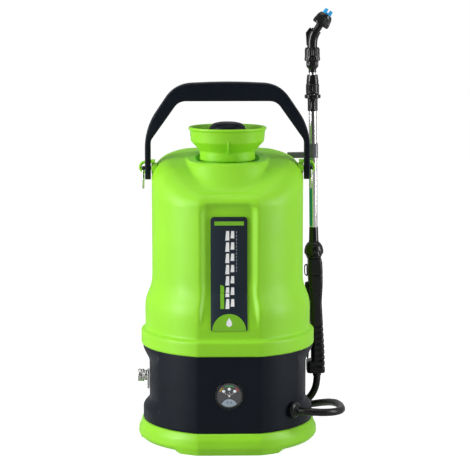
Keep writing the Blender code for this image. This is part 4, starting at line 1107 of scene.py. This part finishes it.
def make_grip():
    """The grip's shell with its grooves, lofted up the lance, and its front channel for the trigger."""
    heights = np.concatenate([[4.6, 5.4, 7], np.arange(9, 147, 0.7), [147, 147.6]])
    half = 11.5
    rows = []
    for z in heights:
        right = float(np.interp(z, [4.6, 36, 65, 93, 115, 130, 143, 147.6],
                                [12.4, 11.8, 10.3, 8.9, 10.3, 10.4, 9.9, 8.8]))
        left = float(np.interp(z, [4.6, 18.8, 20.4, 57.9, 92, 124, 147.6],
                               [-10.3, -10.3, -4.4, -4.4, -5.6, -7.6, -7.6]))
        edge = 0.8 if z in (4.6, 147.6) else 0.2 if z in (5.4, 147) else 0
        groove = 0
        for k in range(8):
            groove = max(groove, math.exp(-((z - (13.2 + 7.1 * k)) / 0.9) ** 2))
        band = 0.5 * math.exp(-((z - 128) / 0.6) ** 2) + 0.6 * math.exp(-((z - 12.5) / 0.5) ** 2)
        section = []
        for x, y in oblong(left + edge, right - edge, half - edge, 4.2, 5):
            scale = 1 - (1.5 * groove * float(smooth(x, 0, 5)) + band) / half
            section.append((x if x < 0 else x * scale, y * scale, z))
        rows.append(section)
    grip = loft("grip_shell", rows, place=LANCE, sharp=40)
    carve(grip, block("channel", (-13, -4.2, 20.6), (3, 4.2, 119.5), 0.6, LANCE))
    carve(grip, lathe("valve_bore", disc(3.4, 0, 5.6), LANCE @ placed(2, 0, 95, 90, "Y"), 32, 0))
    adopt(grip, "grip_front", "grip_rear")
    nut = [(0, -0.4), (4.8, -0.4), (5.3, 0.3), (5.3, 4.2), (0, 4.2)]
    ribs = flutes(10, 0.3, 0.6, 4, least=5)
    adopt(lathe("hose_collar", nut, LANCE @ placed(2.6, 0, 0), 64, 0.4, ribs), "hose_nut")


def make_trigger():
    """The trigger on its pin, and the wire that locks it, with a thumb plate."""
    lever = [(-11.2, 117.3), (-11.4, 112), (-9.8, 100), (-8.7, 72), (-8.9, 45), (-9.9, 32), (-9.7, 21.6),
             (-8, 21.4), (-7, 31), (-5.6, 45), (-5.4, 70), (-6, 90), (-5, 105), (-1.4, 110.5),
             (-2, 115), (-6.2, 118.2)]
    lever = soften([Vector(p) for p in lever], 1.5, True, 4)
    trigger = plate("squeeze_lever", lever, -3.6, 3.6, 0.5, LANCE)
    carve(trigger, lathe("lever_bore", disc(1.65, -5, 5), LANCE @ placed(-4.2, 0, 112, 90, "X"), 32, 0))
    adopt(trigger, "trigger_lever")
    wire = soften([Vector(p) for p in ((-8.6, 125.1), (-8.6, 140.2), (-11.5, 138.2), (-11.5, 127.6))], 2,
                  True, 5)
    for side, y in (("front", -1.9), ("rear", 1.9)):
        path = [(x, y, z) for x, z in wire]
        bar = tube(f"lock_wire_{side}", path, 0.6, ring=True, steps=12, place=LANCE)
        if side == "front":
            adopt(bar, "trigger_lock")
        else:
            detail(bar, "trigger_lock", "black_plastic")
    detail(block("lock_thumb", (-12, -2.5, 131), (-10.9, 2.5, 135), 0.4, LANCE), "trigger_lock",
           "black_plastic")


make_label()
make_gauge()
make_filler()
make_handle()
make_hooks()
make_knob()
make_charger()
make_hose(make_boot(), make_tie())
make_lance()
make_nozzle()
make_clip()
make_grip()
make_trigger()
